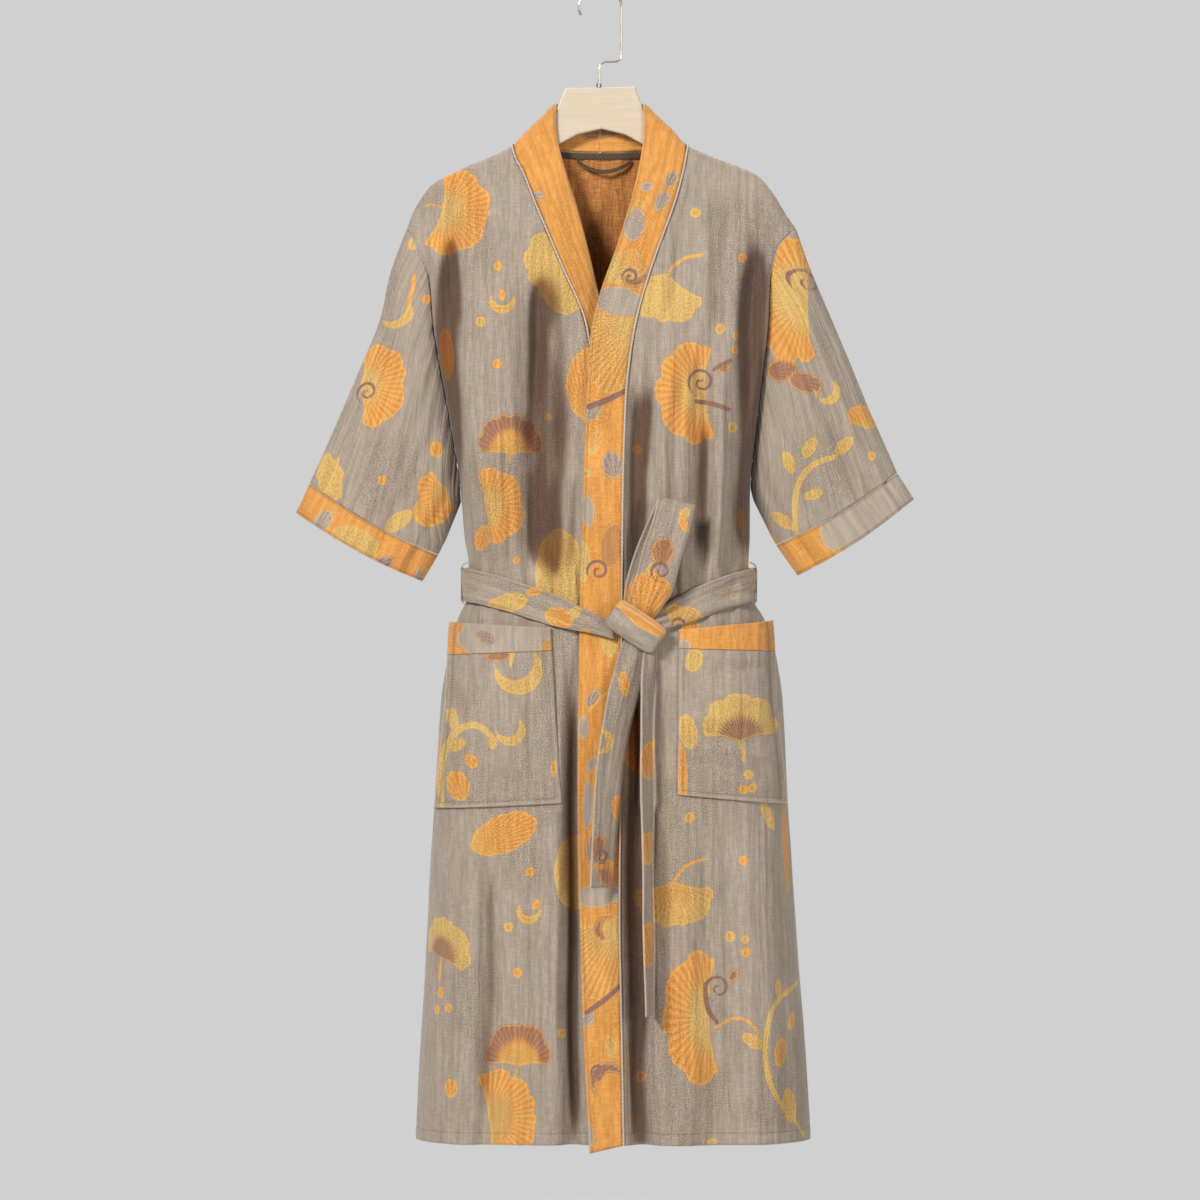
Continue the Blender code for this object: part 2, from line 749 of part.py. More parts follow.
# The stand of a strip is how far its middle lies off the front panel.
Strip = namedtuple("Strip", "across drop stand width twist")
BOW_LOOP = (
    Strip(40, 736, 12.3, 18, 0),
    Strip(44, 716, 17.0, 27, 0),
    Strip(56, 690, 24.0, 37, 0),
    Strip(66, 655, 26.0, 40, 0),
    Strip(79, 622, 25.0, 41, 0),
    Strip(85, 605, 23.0, 41, 0),
    Strip(86.5, 600, 18.0, 41, 0),
    Strip(83, 607, 12.5, 41, 0),
    Strip(72, 628, 10.0, 40, 0),
    Strip(58, 660, 9.5, 38, 0),
    Strip(48, 690, 11.0, 34, 0),
    Strip(41, 714, 10.0, 28, 0),
    Strip(37, 734, 8.4, 22, 0),
)
FRONT_TAIL = (
    Strip(38, 762, 8.6, 22, 0),
    Strip(36, 778, 8.0, 30, 0),
    Strip(33, 800, 9.5, 36, 8),
    Strip(26, 830, 13.0, 38, 18),
    Strip(18, 870, 17.0, 38, 28),
    Strip(12, 915, 19.0, 38, 34),
    Strip(8, 960, 20.0, 38, 38),
    Strip(5, 1005, 21.0, 38, 42),
    Strip(3, 1045, 21.5, 38, 44),
)
EDGE_TAIL = (
    Strip(58, 770, 9.9, 12, 10),
    Strip(58, 786, 14.0, 24, 45),
    Strip(57, 812, 21.0, 34, 62),
    Strip(56, 860, 24.0, 38, 68),
    Strip(56, 920, 25.0, 38, 70),
    Strip(56, 990, 25.0, 38, 72),
    Strip(57, 1060, 25.0, 38, 74),
    Strip(57.5, 1130, 25.0, 38, 76),
    Strip(57.5, 1192, 25.0, 38, 78),
)


def ribbon(stations, wall, lean=0.0, flip=False):
    """A strip of cloth through stations. Its width lies across, leaned and twisted about its run."""
    rows = []
    for station in stations:
        turned = math.radians(station.twist)
        leaned = math.radians(lean)
        across = Vector((math.cos(turned) * math.cos(leaned), math.sin(turned), math.sin(leaned)))
        centre = front_surface(1, station.across, station.drop, station.stand, folded=False)
        half = station.width / 2
        rows.append([centre - across * half, centre, centre + across * half])
    rows = reversed_rows(rows) if flip else rows
    return thicken(loft(rows), wall)


Bead = namedtuple("Bead", "along half_tall half_thick")
KNOT_SECTIONS = (
    Bead(-33, 13, 3.5),
    Bead(-27, 17, 6.5),
    Bead(-14, 18.5, 9.5),
    Bead(0, 19, 10.5),
    Bead(14, 18.5, 9.5),
    Bead(26, 16, 6.5),
    Bead(31, 12, 3.5),
)


def belt_knot():
    """The wrapped strand of the knot, a flattened roll that leans down to the right."""
    lean = math.radians(KNOT_LEAN)
    along = Vector((math.cos(lean), 0, math.sin(lean)))
    up = Vector((-math.sin(lean), 0, math.cos(lean)))
    rings = []
    for bead in KNOT_SECTIONS:
        ring = []
        for step in range(KNOT_SIDES):
            angle = 2 * math.pi * step / KNOT_SIDES
            rise = math.copysign(abs(math.cos(angle)) ** 0.7, math.cos(angle))
            out = Vector((0, -1, 0)) * bead.half_thick * math.sin(angle)
            ring.append(KNOT_CENTRE + along * bead.along + up * bead.half_tall * rise + out)
        rings.append(ring)
    obj = loft(rings, closed=True)
    mesh = obj.data
    faces = [tuple(polygon.vertices) for polygon in mesh.polygons]
    points = [vertex.co.copy() for vertex in mesh.vertices]
    last = (len(rings) - 1) * KNOT_SIDES
    faces.append(tuple(reversed(range(KNOT_SIDES))))
    faces.append(tuple(range(last, last + KNOT_SIDES)))
    closed = bpy.data.meshes.new("knot")
    closed.from_pydata(points, [], faces)
    closed.update()
    closed.shade_smooth()
    obj.data = closed
    return obj


def belt_loop(side):
    """A narrow loop that holds the belt at a side seam."""
    edge = side_across(side, 700)
    near = 1.6
    far = BELT_SEAT + 3.4
    path = [(661, near), (667, far), (690, far + 0.8), (712, far + 0.8), (727, far + 6), (734, near + 7)]
    rows = []
    for drop, out in path:
        across = side_across(side, drop) + side * out
        if 666 < drop < 728:
            across = edge + side * (out + 0.0)
        rows.append([Vector((across, forward, -drop)) for forward in (-4, 0, 4)])
    rows = rows if side < 0 else reversed_rows(rows)
    return thicken(loft(rows), 1.2)


def neck_tape():
    rows = []
    for below in (1.2, 8.2):
        row = []
        for step in range(9):
            across = mix(-46, 49, step / 8)
            drop = back_neck(across / 205 + 0.5)[1] + below
            row.append(Vector((across, depth(across, drop, "back") - CLOTH_WALL - 0.5, -drop)))
        rows.append(row)
    return thicken(loft(rows), 1.0)


def hanging_loop():
    rows = []
    for step in range(11):
        share = step / 10
        across = mix(-27, 37, share)
        hang = math.sin(math.pi * share)
        drop = 202.8 + 13 * hang ** 0.8
        away = depth(across, 196, "back") - CLOTH_WALL - 0.9 - 5.5 * hang
        lean = Vector((0, 0, 2.2)) if 0 < step < 10 else Vector((1.6 if step == 0 else -1.6, 0, 1.2))
        centre = Vector((across, away, -drop))
        rows.append([centre + lean, centre - lean])
    return thicken(loft(rows), 1.2)


def board():
    curve = bpy.data.curves.new("board", "CURVE")
    curve.dimensions = "2D"
    curve.fill_mode = "BOTH"
    curve.extrude = (BOARD_HALF - BOARD_EDGE_ROUND) * MM
    curve.bevel_depth = BOARD_EDGE_ROUND * MM
    curve.bevel_resolution = 1
    curve.offset = -BOARD_EDGE_ROUND * MM
    spline = curve.splines.new("POLY")
    spline.points.add(len(BOARD_OUTLINE) - 1)
    for knot, point in zip(spline.points, BOARD_OUTLINE):
        knot.co = (point.across * MM, -point.drop * MM, 0, 1)
    spline.use_cyclic_u = True
    obj = bpy.data.objects.new("board", curve)
    obj.rotation_euler = (math.radians(90), 0, 0)
    return obj


def hook():
    """A wire that steps sideways above the board, rises and turns over the rail."""
    centre_drop = HOOK_REACH - WIRE_RADIUS
    points = [Vector((-1.2, 0, -113.1)), Vector((-1.2, 0, -97.0)), Vector((0.4, 0, -91.0))]
    points += [Vector((5.5, 0, -88.2)), Vector((18.5, 0, -88.0)), Vector((23.6, 0, -85.5))]
    points += [Vector((HOOK_REACH, 0, -80.0)), Vector((HOOK_REACH, 0, -50.0))]
    steps = 14
    for step in range(steps + 1):
        angle = math.radians(HOOK_END_ANGLE * step / steps)
        rise = HOOK_REACH * math.sin(angle)
        points.append(Vector((HOOK_REACH * math.cos(angle), 0, rise - centre_drop)))
    return tube(points, WIRE_RADIUS, 2)


def ferrule():
    bpy.ops.mesh.primitive_cylinder_add(vertices=16, radius=0.003, depth=0.0046)
    obj = bpy.context.active_object
    obj.location = (-0.0012, 0, -0.11575)
    obj.data.shade_smooth()
    obj.data.set_sharp_from_angle(angle=math.radians(40))
    return obj


TAUPE = (0.37, 0.31, 0.26)
ORANGE = (0.75, 0.30, 0.05)
GREY_TRIM = (0.45, 0.41, 0.36)
TAPE_GREY = (0.09, 0.08, 0.07)
BOARD_CREAM = (0.77, 0.65, 0.5)
WIRE_GREY = (0.6, 0.57, 0.53)


def main():
    for obj in list(bpy.data.objects):
        bpy.data.objects.remove(obj)
    robe = bpy.data.collections.new("kimono_robe")
    bpy.context.scene.collection.children.link(robe)
    cloth = (0.9, 0.0, robe)
    finish(back_panel(), "back_panel", TAUPE, *cloth)
    for side, place in ((-1, "left"), (1, "right")):
        finish(front_panel(side), "front_" + place, TAUPE, *cloth)
        finish(sleeve(side), "sleeve_" + place, TAUPE, *cloth)
        finish(cuff(side), "cuff_" + place, ORANGE, *cloth)
        finish(pocket_body(side), "pocket_" + place, TAUPE, *cloth)
        finish(pocket_band(side), "pocket_band_" + place, ORANGE, *cloth)
        finish(belt_loop(side), "belt_loop_" + place, GREY_TRIM, *cloth)
    for side, place in ((-1, "under"), (1, "over")):
        finish(neck_band(side), "neck_band_" + place, ORANGE, *cloth)
        finish(piping(side), "piping_" + place, GREY_TRIM, *cloth)
    finish(belt_wrap(), "belt_wrap", TAUPE, *cloth)
    finish(belt_knot(), "belt_knot", TAUPE, *cloth)
    finish(ribbon(BOW_LOOP, CLOTH_WALL, lean=BOW_LEAN), "belt_bow_loop", TAUPE, *cloth)
    finish(ribbon(FRONT_TAIL, BELT_WALL, flip=True), "belt_tail_front", TAUPE, *cloth)
    finish(ribbon(EDGE_TAIL, BELT_WALL, flip=True), "belt_tail_edge", TAUPE, *cloth)
    finish(neck_tape(), "neck_tape", TAPE_GREY, *cloth)
    finish(hanging_loop(), "hanging_loop", TAPE_GREY, *cloth)
    finish(board(), "hanger_board", BOARD_CREAM, 0.45, 0.0, robe)
    finish(hook(), "hanger_hook", WIRE_GREY, 0.3, 1.0, robe)
    finish(ferrule(), "hook_ferrule", WIRE_GREY, 0.35, 1.0, robe)


main()
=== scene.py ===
"""Dresses the kimono robe on its hanger: printed double gauze, piping, tied belt, beech board, steel hook.

Tables are in millimetres: "across" grows to the robe's left sleeve, and a "drop" is a distance down from the
hook's inner top. The front of the robe faces -Y.
"""

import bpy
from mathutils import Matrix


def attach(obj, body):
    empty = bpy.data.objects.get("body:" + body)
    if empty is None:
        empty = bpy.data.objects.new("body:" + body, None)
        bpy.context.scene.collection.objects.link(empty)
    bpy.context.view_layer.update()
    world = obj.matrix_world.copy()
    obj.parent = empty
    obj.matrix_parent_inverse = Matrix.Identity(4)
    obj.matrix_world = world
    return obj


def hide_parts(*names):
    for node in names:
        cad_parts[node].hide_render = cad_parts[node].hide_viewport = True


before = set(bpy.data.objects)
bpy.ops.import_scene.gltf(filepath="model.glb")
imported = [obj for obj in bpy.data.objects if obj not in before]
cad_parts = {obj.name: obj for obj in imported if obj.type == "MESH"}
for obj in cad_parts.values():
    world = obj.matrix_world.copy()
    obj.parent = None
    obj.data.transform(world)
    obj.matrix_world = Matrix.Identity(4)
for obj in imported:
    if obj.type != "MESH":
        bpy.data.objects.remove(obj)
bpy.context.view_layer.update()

import logging
import math
from dataclasses import dataclass, field
from enum import Enum
from typing import Any

import bpy
import numpy as np
from mathutils import Vector

LOG = logging.getLogger("robe")
MM = 0.001

# Where the garment's main lines lie.
NECK_DROP = 186.0
SHOULDER_TIP_DROP = 282.0
WAIST_INNER_DROP = 598.0
WAIST_DROP = 702.0
HEM_DROP = 1342.0
BACK_HEM_RISE = 4.0
HEM_STITCH_DROP = 1328.0
UNDERARM_LEFT = 601.0
UNDERARM_RIGHT = 585.0
NECK_HALF = 102.5
BACK_NECK_DIP = 7.0
COLLAR_HALF = 52.0
COLLAR_DROP = 135.0
COLLAR_DIP = 6.0
BELT_DROP = 697.0
BELT_FALL = 54.0
BODY_HALF = 165.0
CLOTH_WALL = 1.3
BAND_WALL = 2.4


def smooth(value: Any) -> Any:
    """Returns a soft step that is 0 up to 0 and 1 from 1 on."""
    value = np.clip(value, 0.0, 1.0)
    return value * value * (3 - 2 * value)


def mix(start: Any, end: Any, share: Any) -> Any:
    """Returns the value this share of the way from start to end."""
    return start + (end - start) * share


def linear(hex_colour: str, alpha: float = 1.0) -> tuple[float, float, float, float]:
    """Turns an sRGB hex colour to linear.

    Args:
        hex_colour: six hex digits, with or without a leading hash.
        alpha: the fourth value.

    Returns:
        The colour in linear light.
    """
    digits = hex_colour.lstrip("#")
    parts = [int(digits[at : at + 2], 16) / 255 for at in (0, 2, 4)]
    red, green, blue = (
        part / 12.92 if part <= 0.04045 else ((part + 0.055) / 1.055) ** 2.4 for part in parts)
    return (red, green, blue, alpha)


@dataclass(frozen=True)
class Curve:
    """A smooth line through (key, value) pairs, with no overshoot between them."""

    pairs: tuple[tuple[float, float], ...]

    def at(self, keys: Any) -> np.ndarray:
        """Reads the line.

        Args:
            keys: where to read it.

        Returns:
            Its value at each key, held at its ends.
        """
        known = np.array([pair[0] for pair in self.pairs], float)
        values = np.array([pair[1] for pair in self.pairs], float)
        slopes = np.diff(values) / np.diff(known)
        tangents = np.empty(len(known))
        tangents[0], tangents[-1] = slopes[0], slopes[-1]
        before, after = slopes[:-1], slopes[1:]
        total = np.where(before + after == 0, 1.0, before + after)
        tangents[1:-1] = np.where(before * after > 0, 2 * before * after / total, 0.0)
        keys = np.clip(np.asarray(keys, float), known[0], known[-1])
        row = np.clip(np.searchsorted(known, keys, "right") - 1, 0, len(known) - 2)
        span = known[row + 1] - known[row]
        t = (keys - known[row]) / span
        value = values[row] + t * t * (3 - 2 * t) * (values[row + 1] - values[row])
        return value + span * t * (1 - t) * ((1 - t) * tangents[row] - t * tangents[row + 1])


def unit(vectors: np.ndarray) -> np.ndarray:
    """Returns the vectors at length 1."""
    return vectors / np.maximum(np.linalg.norm(vectors, axis=-1, keepdims=True), 1e-9)


def run_length(line: np.ndarray) -> np.ndarray:
    """Returns each point's distance along its line, as a column."""
    return np.concatenate([[0.0], np.cumsum(np.linalg.norm(np.diff(line, axis=0), axis=-1))])[:, None]


def as_seen(points: np.ndarray) -> np.ndarray:
    """Returns (across, drop) of points."""
    return np.stack([points[..., 0], -points[..., 2]], axis=-1)


class Figure(Enum):
    """The figures of the printed pattern."""

    FAN = "fan leaf"
    OVAL = "oval leaf"
    DOT = "dot"
    RING = "ring"
    CRESCENT = "crescent"
    SPIRAL = "spiral"


@dataclass(frozen=True)
class Motif:
    """One printed figure. A hue runs from -1 for the ground's taupe over 0 for orange to 1 for yellow.

    The turn is in degrees, anticlockwise from the right. The heart is a leaf's stem end, and the rim its
    far edge.
    """

    figure: Figure
    across: float
    drop: float
    size: float
    turn: float = 0.0
    spread: float = 80.0
    tall: float = 1.0
    heart: float = 0.2
    rim: float = 0.0
    mauve_heart: float = 0.0
    mauve_rim: float = 0.0
    notch: float = 0.0


@dataclass(frozen=True)
class Vine:
    """A printed stem or scroll line through (across, drop) points. An inked one is mauve and lies on top."""

    width: float
    hue: float
    inked: bool
    points: tuple[tuple[float, float], ...]


FAR = -90.0
LOBES = 11.0
RINGS_OF_SPIRAL = 1.6
SPIRAL_STROKE = 4.0


@dataclass
class PrintLayer:
    """Distances inside the printed edges, in millimetres, and their hues, one value a point."""

    count: int
    edge: np.ndarray = field(init=False)
    hue: np.ndarray = field(init=False)
    mauve: np.ndarray = field(init=False)
    vein: np.ndarray = field(init=False)
    ink: np.ndarray = field(init=False)
    ink_hue: np.ndarray = field(init=False)

    def __post_init__(self) -> None:
        """Starts with no figure anywhere."""
        self.edge = np.full(self.count, FAR)
        self.ink = np.full(self.count, FAR)
        self.hue, self.mauve, self.vein, self.ink_hue = (np.zeros(self.count) for _ in range(4))

    def lay(self, edge: np.ndarray, hue: Any, mauve: Any, vein: Any, rank: np.ndarray | None = None) -> None:
        """Lays a figure down wherever it reaches further inside than what is there.

        Args:
            edge: the distance inside the figure's edge.
            hue: the figure's hue.
            mauve: its share of mauve.
            vein: its vein coordinate.
            rank: what decides over an older figure, if not the edge.
        """
        wins = (edge if rank is None else rank) > self.edge
        self.edge = np.where(wins, edge, self.edge)
        self.hue = np.where(wins, hue, self.hue)
        self.mauve = np.where(wins, mauve, self.mauve)
        self.vein = np.where(wins, vein, self.vein)

    def draw(self, edge: np.ndarray, hue: float) -> None:
        """Draws an inked line over the leaves.

        Args:
            edge: the distance inside the line's edge.
            hue: the line's hue.
        """
        wins = edge > self.ink
        self.ink = np.where(wins, edge, self.ink)
        self.ink_hue = np.where(wins, hue, self.ink_hue)


@dataclass(frozen=True)
class PrintChart:
    """A charted piece of the pattern, laid on a cloth piece by its place on the hanging robe."""

    motifs: tuple[Motif, ...] = ()
    vines: tuple[Vine, ...] = ()

    def paint(self, spots: np.ndarray, cloth: np.ndarray) -> PrintLayer:
        """Draws the chart on a cloth piece.

        Args:
            spots: (across, drop) of each point as it hangs.
            cloth: (across, down) of each point on the cloth laid flat.

        Returns:
            The printed layer.
        """
        layer = PrintLayer(len(spots))
        for motif in self.motifs:
            place = self.on_cloth(spots, cloth, motif.across, motif.drop)
            near = np.abs(cloth - place).max(axis=1) < motif.size * max(1.0, motif.tall) * 1.3 + 14
            if near.any():
                self.print_figure(layer, motif, cloth - place, near)
        for vine in self.vines:
            line = np.array([self.on_cloth(spots, cloth, across, drop) for across, drop in vine.points])
            self.print_vine(layer, vine, self.rounded(line), cloth)
        return layer

    @staticmethod
    def on_cloth(spots: np.ndarray, cloth: np.ndarray, across: float, drop: float) -> np.ndarray:
        """Finds a spot of the hanging robe on the flat cloth.

        Args:
            spots: (across, drop) of the piece's points as they hang.
            cloth: (across, down) of the same points on the flat cloth.
            across: the spot's place across.
            drop: the spot's drop.

        Returns:
            (across, down) of the spot on the flat cloth.
        """
        target = np.array([across, drop])
        nearest = int(((spots - target) ** 2).sum(axis=1).argmin())
        return cloth[nearest] + (target - spots[nearest])

    @staticmethod
    def rounded(line: np.ndarray) -> np.ndarray:
        """Eases a line's corners by three rounds of corner cutting.

        Args:
            line: its points.

        Returns:
            The eased line.
        """
        for _ in range(3):
            cut = np.stack([line[:-1] * 0.75 + line[1:] * 0.25, line[:-1] * 0.25 + line[1:] * 0.75], axis=1)
            line = np.concatenate([line[:1], cut.reshape(-1, 2), line[-1:]])
        return line

    @staticmethod
    def print_figure(layer: PrintLayer, motif: Motif, offset: np.ndarray, near: np.ndarray) -> None:
        """Adds one figure.

        Args:
            layer: the layer to add to.
            motif: the figure.
            offset: (across, down) of each point from the figure's place.
            near: which points are close enough to matter.
        """
        turned = math.radians(motif.turn)
        along = offset[:, 0] * math.cos(turned) - offset[:, 1] * math.sin(turned)
        beside = -offset[:, 0] * math.sin(turned) - offset[:, 1] * math.cos(turned)
        hidden = np.where(near, 0.0, FAR * 4)
        if motif.figure is Figure.FAN:
            beside = beside / motif.tall
            reach = np.hypot(along, beside)
            angle = np.arctan2(beside, along)
            half = math.radians(motif.spread)
            wavy = angle + 0.09 * np.sin(3.1 * angle + motif.across)
            lobes = LOBES * (80 + motif.size) / 150
            scallop = 1 - 0.1 * (1 - np.abs(np.cos(wavy * lobes / 2)) ** 0.7)
            scallop = scallop - 0.02 * np.abs(np.sin(wavy * lobes * 1.7))
            scallop = scallop - motif.notch * np.exp(-((angle / 0.14) ** 2))
            scallop = scallop - 0.2 * (np.abs(angle) / half) ** 5
            flank = np.sin(np.clip(half - np.abs(angle), -1.5, 1.5)) * reach
            hollow = 0.07 * motif.size * np.sin(np.pi * np.clip(reach / motif.size * 1.1, 0, 1))
            edge = np.minimum(motif.size * scallop - reach, flank - hollow + 1.2)
            share = reach / motif.size
            hue = mix(motif.heart, motif.rim, smooth((share - 0.25) / 0.45))
            mauve = mix(motif.mauve_heart, motif.mauve_rim, smooth((share - 0.38) / 0.3))
            layer.lay(edge + hidden, hue, mauve, angle * motif.size * 0.62)
        elif motif.figure is Figure.OVAL:
            beside = beside / motif.tall
            reach = np.hypot(along, beside)
            angle = np.arctan2(beside, along)
            scallop = 1 - 0.05 * (1 - np.abs(np.cos(angle * 4)))
            edge = (motif.size * scallop - reach) * (0.5 + 0.5 * min(motif.tall, 1.0))
            from_stem = np.arctan2(beside, along + motif.size * 1.15)
            share = (along / motif.size + 1) / 2
            hue = mix(motif.heart, motif.rim, smooth(share * 1.6))
            mauve = mix(motif.mauve_heart, motif.mauve_rim, smooth(share))
            grounded = motif.heart < 0
            layer.lay(edge + hidden, hue, mauve, from_stem * motif.size,
                edge * 4 + 9 + hidden if grounded else None)
        elif motif.figure is Figure.SPIRAL:
            reach = np.hypot(along, beside)
            pitch = motif.size / RINGS_OF_SPIRAL
            turns = (reach / pitch - np.arctan2(beside, along) / (2 * math.pi)) % 1.0
            stroke = SPIRAL_STROKE / 2 * (0.6 + 0.4 * reach / motif.size) - np.minimum(turns,
                1 - turns) * pitch
            layer.draw(np.minimum(stroke, motif.size - reach) + hidden, motif.heart)
        elif motif.figure is Figure.CRESCENT:
            reach = np.hypot(along, beside)
            bite = np.hypot(along + motif.size * 0.45, beside)
            edge = np.minimum(motif.size - reach, bite - motif.size * 0.8)
            hue = mix(motif.heart, motif.rim, smooth((beside / motif.size + 1) / 2))
            layer.lay(edge + hidden, hue, motif.mauve_rim, along, edge * 4 + 9 + hidden)
        else:
            reach = np.hypot(along, beside)
            ringed = motif.figure is Figure.RING
            hue = np.where(reach < motif.size * 0.42, 0.1, 1.0) if ringed else 0.0
            layer.lay(motif.size - reach + hidden, hue, 0.0, along)
            if not ringed:
                return
            petal = np.abs(np.cos(np.arctan2(beside, along) * 3)) * motif.size * 0.3
            layer.mauve = np.where((layer.edge == motif.size - reach) & (petal < 0.5), 0.4, layer.mauve)

    @staticmethod
    def print_vine(layer: PrintLayer, vine: Vine, line: np.ndarray, cloth: np.ndarray) -> None:
        """Adds a stem or scroll line.

        Args:
            layer: the layer to add to.
            vine: its width and hue.
            line: its rounded points on the flat cloth.
            cloth: (across, down) of each point on the flat cloth.
        """
        low, high = line.min(axis=0) - 12, line.max(axis=0) + 12
        inside = np.flatnonzero(((cloth > low) & (cloth < high)).all(axis=1))
        if not len(inside):
            return
        best = np.full(len(inside), FAR * 4)
        for index in range(len(line) - 1):
            start, run = line[index], line[index + 1] - line[index]
            offset = cloth[inside] - start
            share = np.clip((offset @ run) / max(float(run @ run), 1e-6), 0, 1)
            gap = np.linalg.norm(offset - share[:, None] * run, axis=1)
            taper = math.sin(math.pi * (0.12 + 0.76 * index / len(line)))
            best = np.maximum(best, vine.width * (0.55 + 0.45 * taper) - gap)
        edge = np.full(len(cloth), FAR * 4)
        edge[inside] = best
        if vine.inked:
            layer.draw(edge, vine.hue)
        else:
            layer.lay(edge, vine.hue, 0.0, 0.0, edge * 3 + 4)


FAN, OVAL, DOT, RING, CRESCENT, SPIRAL = Figure


def charted(motifs: tuple[tuple[Any, ...], ...], vines: tuple[tuple[Any, ...], ...] = ()) -> PrintChart:
    """Returns the chart whose motifs and vines have these rows of values."""
    return PrintChart(tuple(Motif(*row) for row in motifs), tuple(Vine(*row) for row in vines))


# The printed pattern, charted in millimetres on the hanging robe.
LEFT_CHART = charted((
    (FAN, -183, 262, 58.5, -14, 106, 0.96, 0.9, 0, 0.3, 0, 0.1),
    (FAN, -23, 322, 67.9, 212, 72, 1, 1, 0.95, 0, 0, 0.12), (DOT, -118, 329, 5.8), (DOT, -119, 443, 5.8),
    (RING, -138, 394, 6.4), (CRESCENT, -113, 370, 15.2, -90, 0, 1, 0.3, 1),
    (OVAL, -113, 363, 7, 90, 0, 0.6, 0.5), (OVAL, -179, 431, 30.4, 90, 0, 0.42, 0.5),
    (FAN, -104, 547, 50, 90, 92, 0.86, 0.5, 0, 0, 0.95, 0.1),
    (FAN, -132, 608, 49.1, 8, 98, 1, 0.8, 0, 0, 0, 0.12), (OVAL, -137, 644, 17.5, 225, 0, 0.7, 0.5),
    (OVAL, -47, 684, 51.5, 90, 0, 0.55, 1, 1), (DOT, -96, 670, 4.7), (RING, -60, 504, 4.7),
    (OVAL, -13, 467, 43.3, 90, 0, 0.62, 0.5), (OVAL, -111, 985, 42.1, 24, 0, 0.52, 0.5),
    (OVAL, -29, 1030, 43.3, 90, 0, 0.56, 1, 1), (DOT, -80, 1028, 5.8), (DOT, -95, 1144, 5.8),
    (RING, -105, 1092, 5.8), (CRESCENT, -82, 1074, 14, -100, 0, 1, 0.3, 1),
    (OVAL, -73, 1066, 7, 60, 0, 0.6, 0.5), (FAN, -184, 1130, 50, 74, 96, 1, 0.9, 1, 0.95, 0, 0.05),
    (DOT, -184, 1169, 7), (DOT, -188, 1189, 5.8), (RING, -174, 1186, 5.8),
    (FAN, -94, 1250, 52, 90, 92, 0.84, 0.5, 0, 0, 0.9, 0.1),
    (FAN, -128, 1310, 60, 8, 100, 1, 0.8, 0.1, 0.4, 0, 0.1), (RING, -44, 1214, 5.8),
    (OVAL, -172, 1278, 11.7, 90, 0, 0.75, 0.5), (OVAL, -157, 764, 30.4, 10, 0, 0.5, 0.5),
    (FAN, -199, 904, 46.8, 20, 80, 1, 0.6, 0, 0, 0, 0.12),
), (
    (1.5, 0.1, False, ((-104, 545), (-104, 557))), (2.6, 0.3, False, ((-184, 1133), (-186, 1156))),
    (1.6, 0.2, False, ((-94, 1247), (-97, 1265))),
    (1.4, 0.1, False, ((-184, 259), (-194, 255), (-204, 256))),
))
RIGHT_CHART = charted((
    (RING, 111, 266, 6.3), (RING, 139, 402, 6.3), (RING, 153, 516, 6.3), (RING, 103, 966, 6.3),
    (RING, 150, 1103, 6.3), (DOT, 165, 319, 5.8), (DOT, 157, 426, 5.8), (DOT, 165, 1016, 5.8),
    (DOT, 168, 1121, 5.8), (DOT, 43, 542, 5.8), (RING, 158, 410, 5.1), (RING, 167, 1106, 5.1),
    (FAN, 78, 339, 60, -108, 74, 1, 0.95, 1, 0, 0, 0.1), (FAN, 121, 476, 58.5, 182, 104, 1.12, 1, -0.02),
    (SPIRAL, 118, 464, 17.5, 20, 0, 1, 0), (OVAL, 143, 449, 8.2, 30, 0, 0.6, 0, 0, 0.9, 0.9),
    (OVAL, 165, 626, 18.7, 110, 0, 0.5, 0.8, 0.8), (FAN, 170, 670, 35.1, -70, 70, 1, 0.6, 0, 0, 0, 0.12),
    (FAN, 84, 1039, 56, -88, 80, 1, 0.5, 0.8, 0, 0, 0.1), (FAN, 125, 1195, 55, 182, 104, 1.55, 1, -0.02),
    (SPIRAL, 136, 1162, 16.4, 20, 0, 1, 0), (OVAL, 153, 1148, 9.4, 50, 0, 0.6, 0, 0, 0.9, 0.9),
    (OVAL, 207, 1165, 12.9, 100, 0, 0.5, 0.9, 0.9), (OVAL, 176, 1223, 15.2, 150, 0, 0.5, 0.9, 0.9),
    (OVAL, 209, 1237, 17.5, 80, 0, 0.62, 0.6, 0.2), (OVAL, 221, 1202, 11.7, 60, 0, 0.6, 0.6, 0.3),
    (OVAL, 219, 1299, 21.1, 100, 0, 0.55, 1, 0.9), (OVAL, 216, 1004, 53.8, 92, 0, 0.2, 0.5),
    (OVAL, 194, 965, 19.9, -60, 0, 0.38, 1, 1), (RING, 47, 1264, 6.4), (OVAL, 129, 1338, 7, 0, 0, 0.6, 1, 1),
    (FAN, 64, 875, 46.8, 200, 70, 1, 0.6, 0, 0, 0, 0.12), (OVAL, 105, 764, 28.1, 90, 0, 0.5, 0.5),
), (
    (2.2, 0.5, False, ((78, 342), (84, 329), (98, 319), (119, 316))),
    (2.6, 0, True, ((131, 450), (143, 443), (151, 439))),
    (2.8, 0, True, ((110, 486), (126, 488), (149, 496))),
    (2.3, 0.9, False, ((161, 624), (168, 653), (172, 680))),
    (2.2, 0.3, False, ((84, 1041), (94, 1024), (108, 1016), (123, 1013))),
    (2.8, 0, True, ((121, 1156), (122, 1185), (135, 1202))),
    (2.2, 0.3, False, ((131, 1209), (149, 1197), (168, 1197), (183, 1213))),
    (3.5, 0.9, False, ((230, 1158), (205, 1174), (193, 1199), (188, 1243), (201, 1292), (236, 1335))),
))
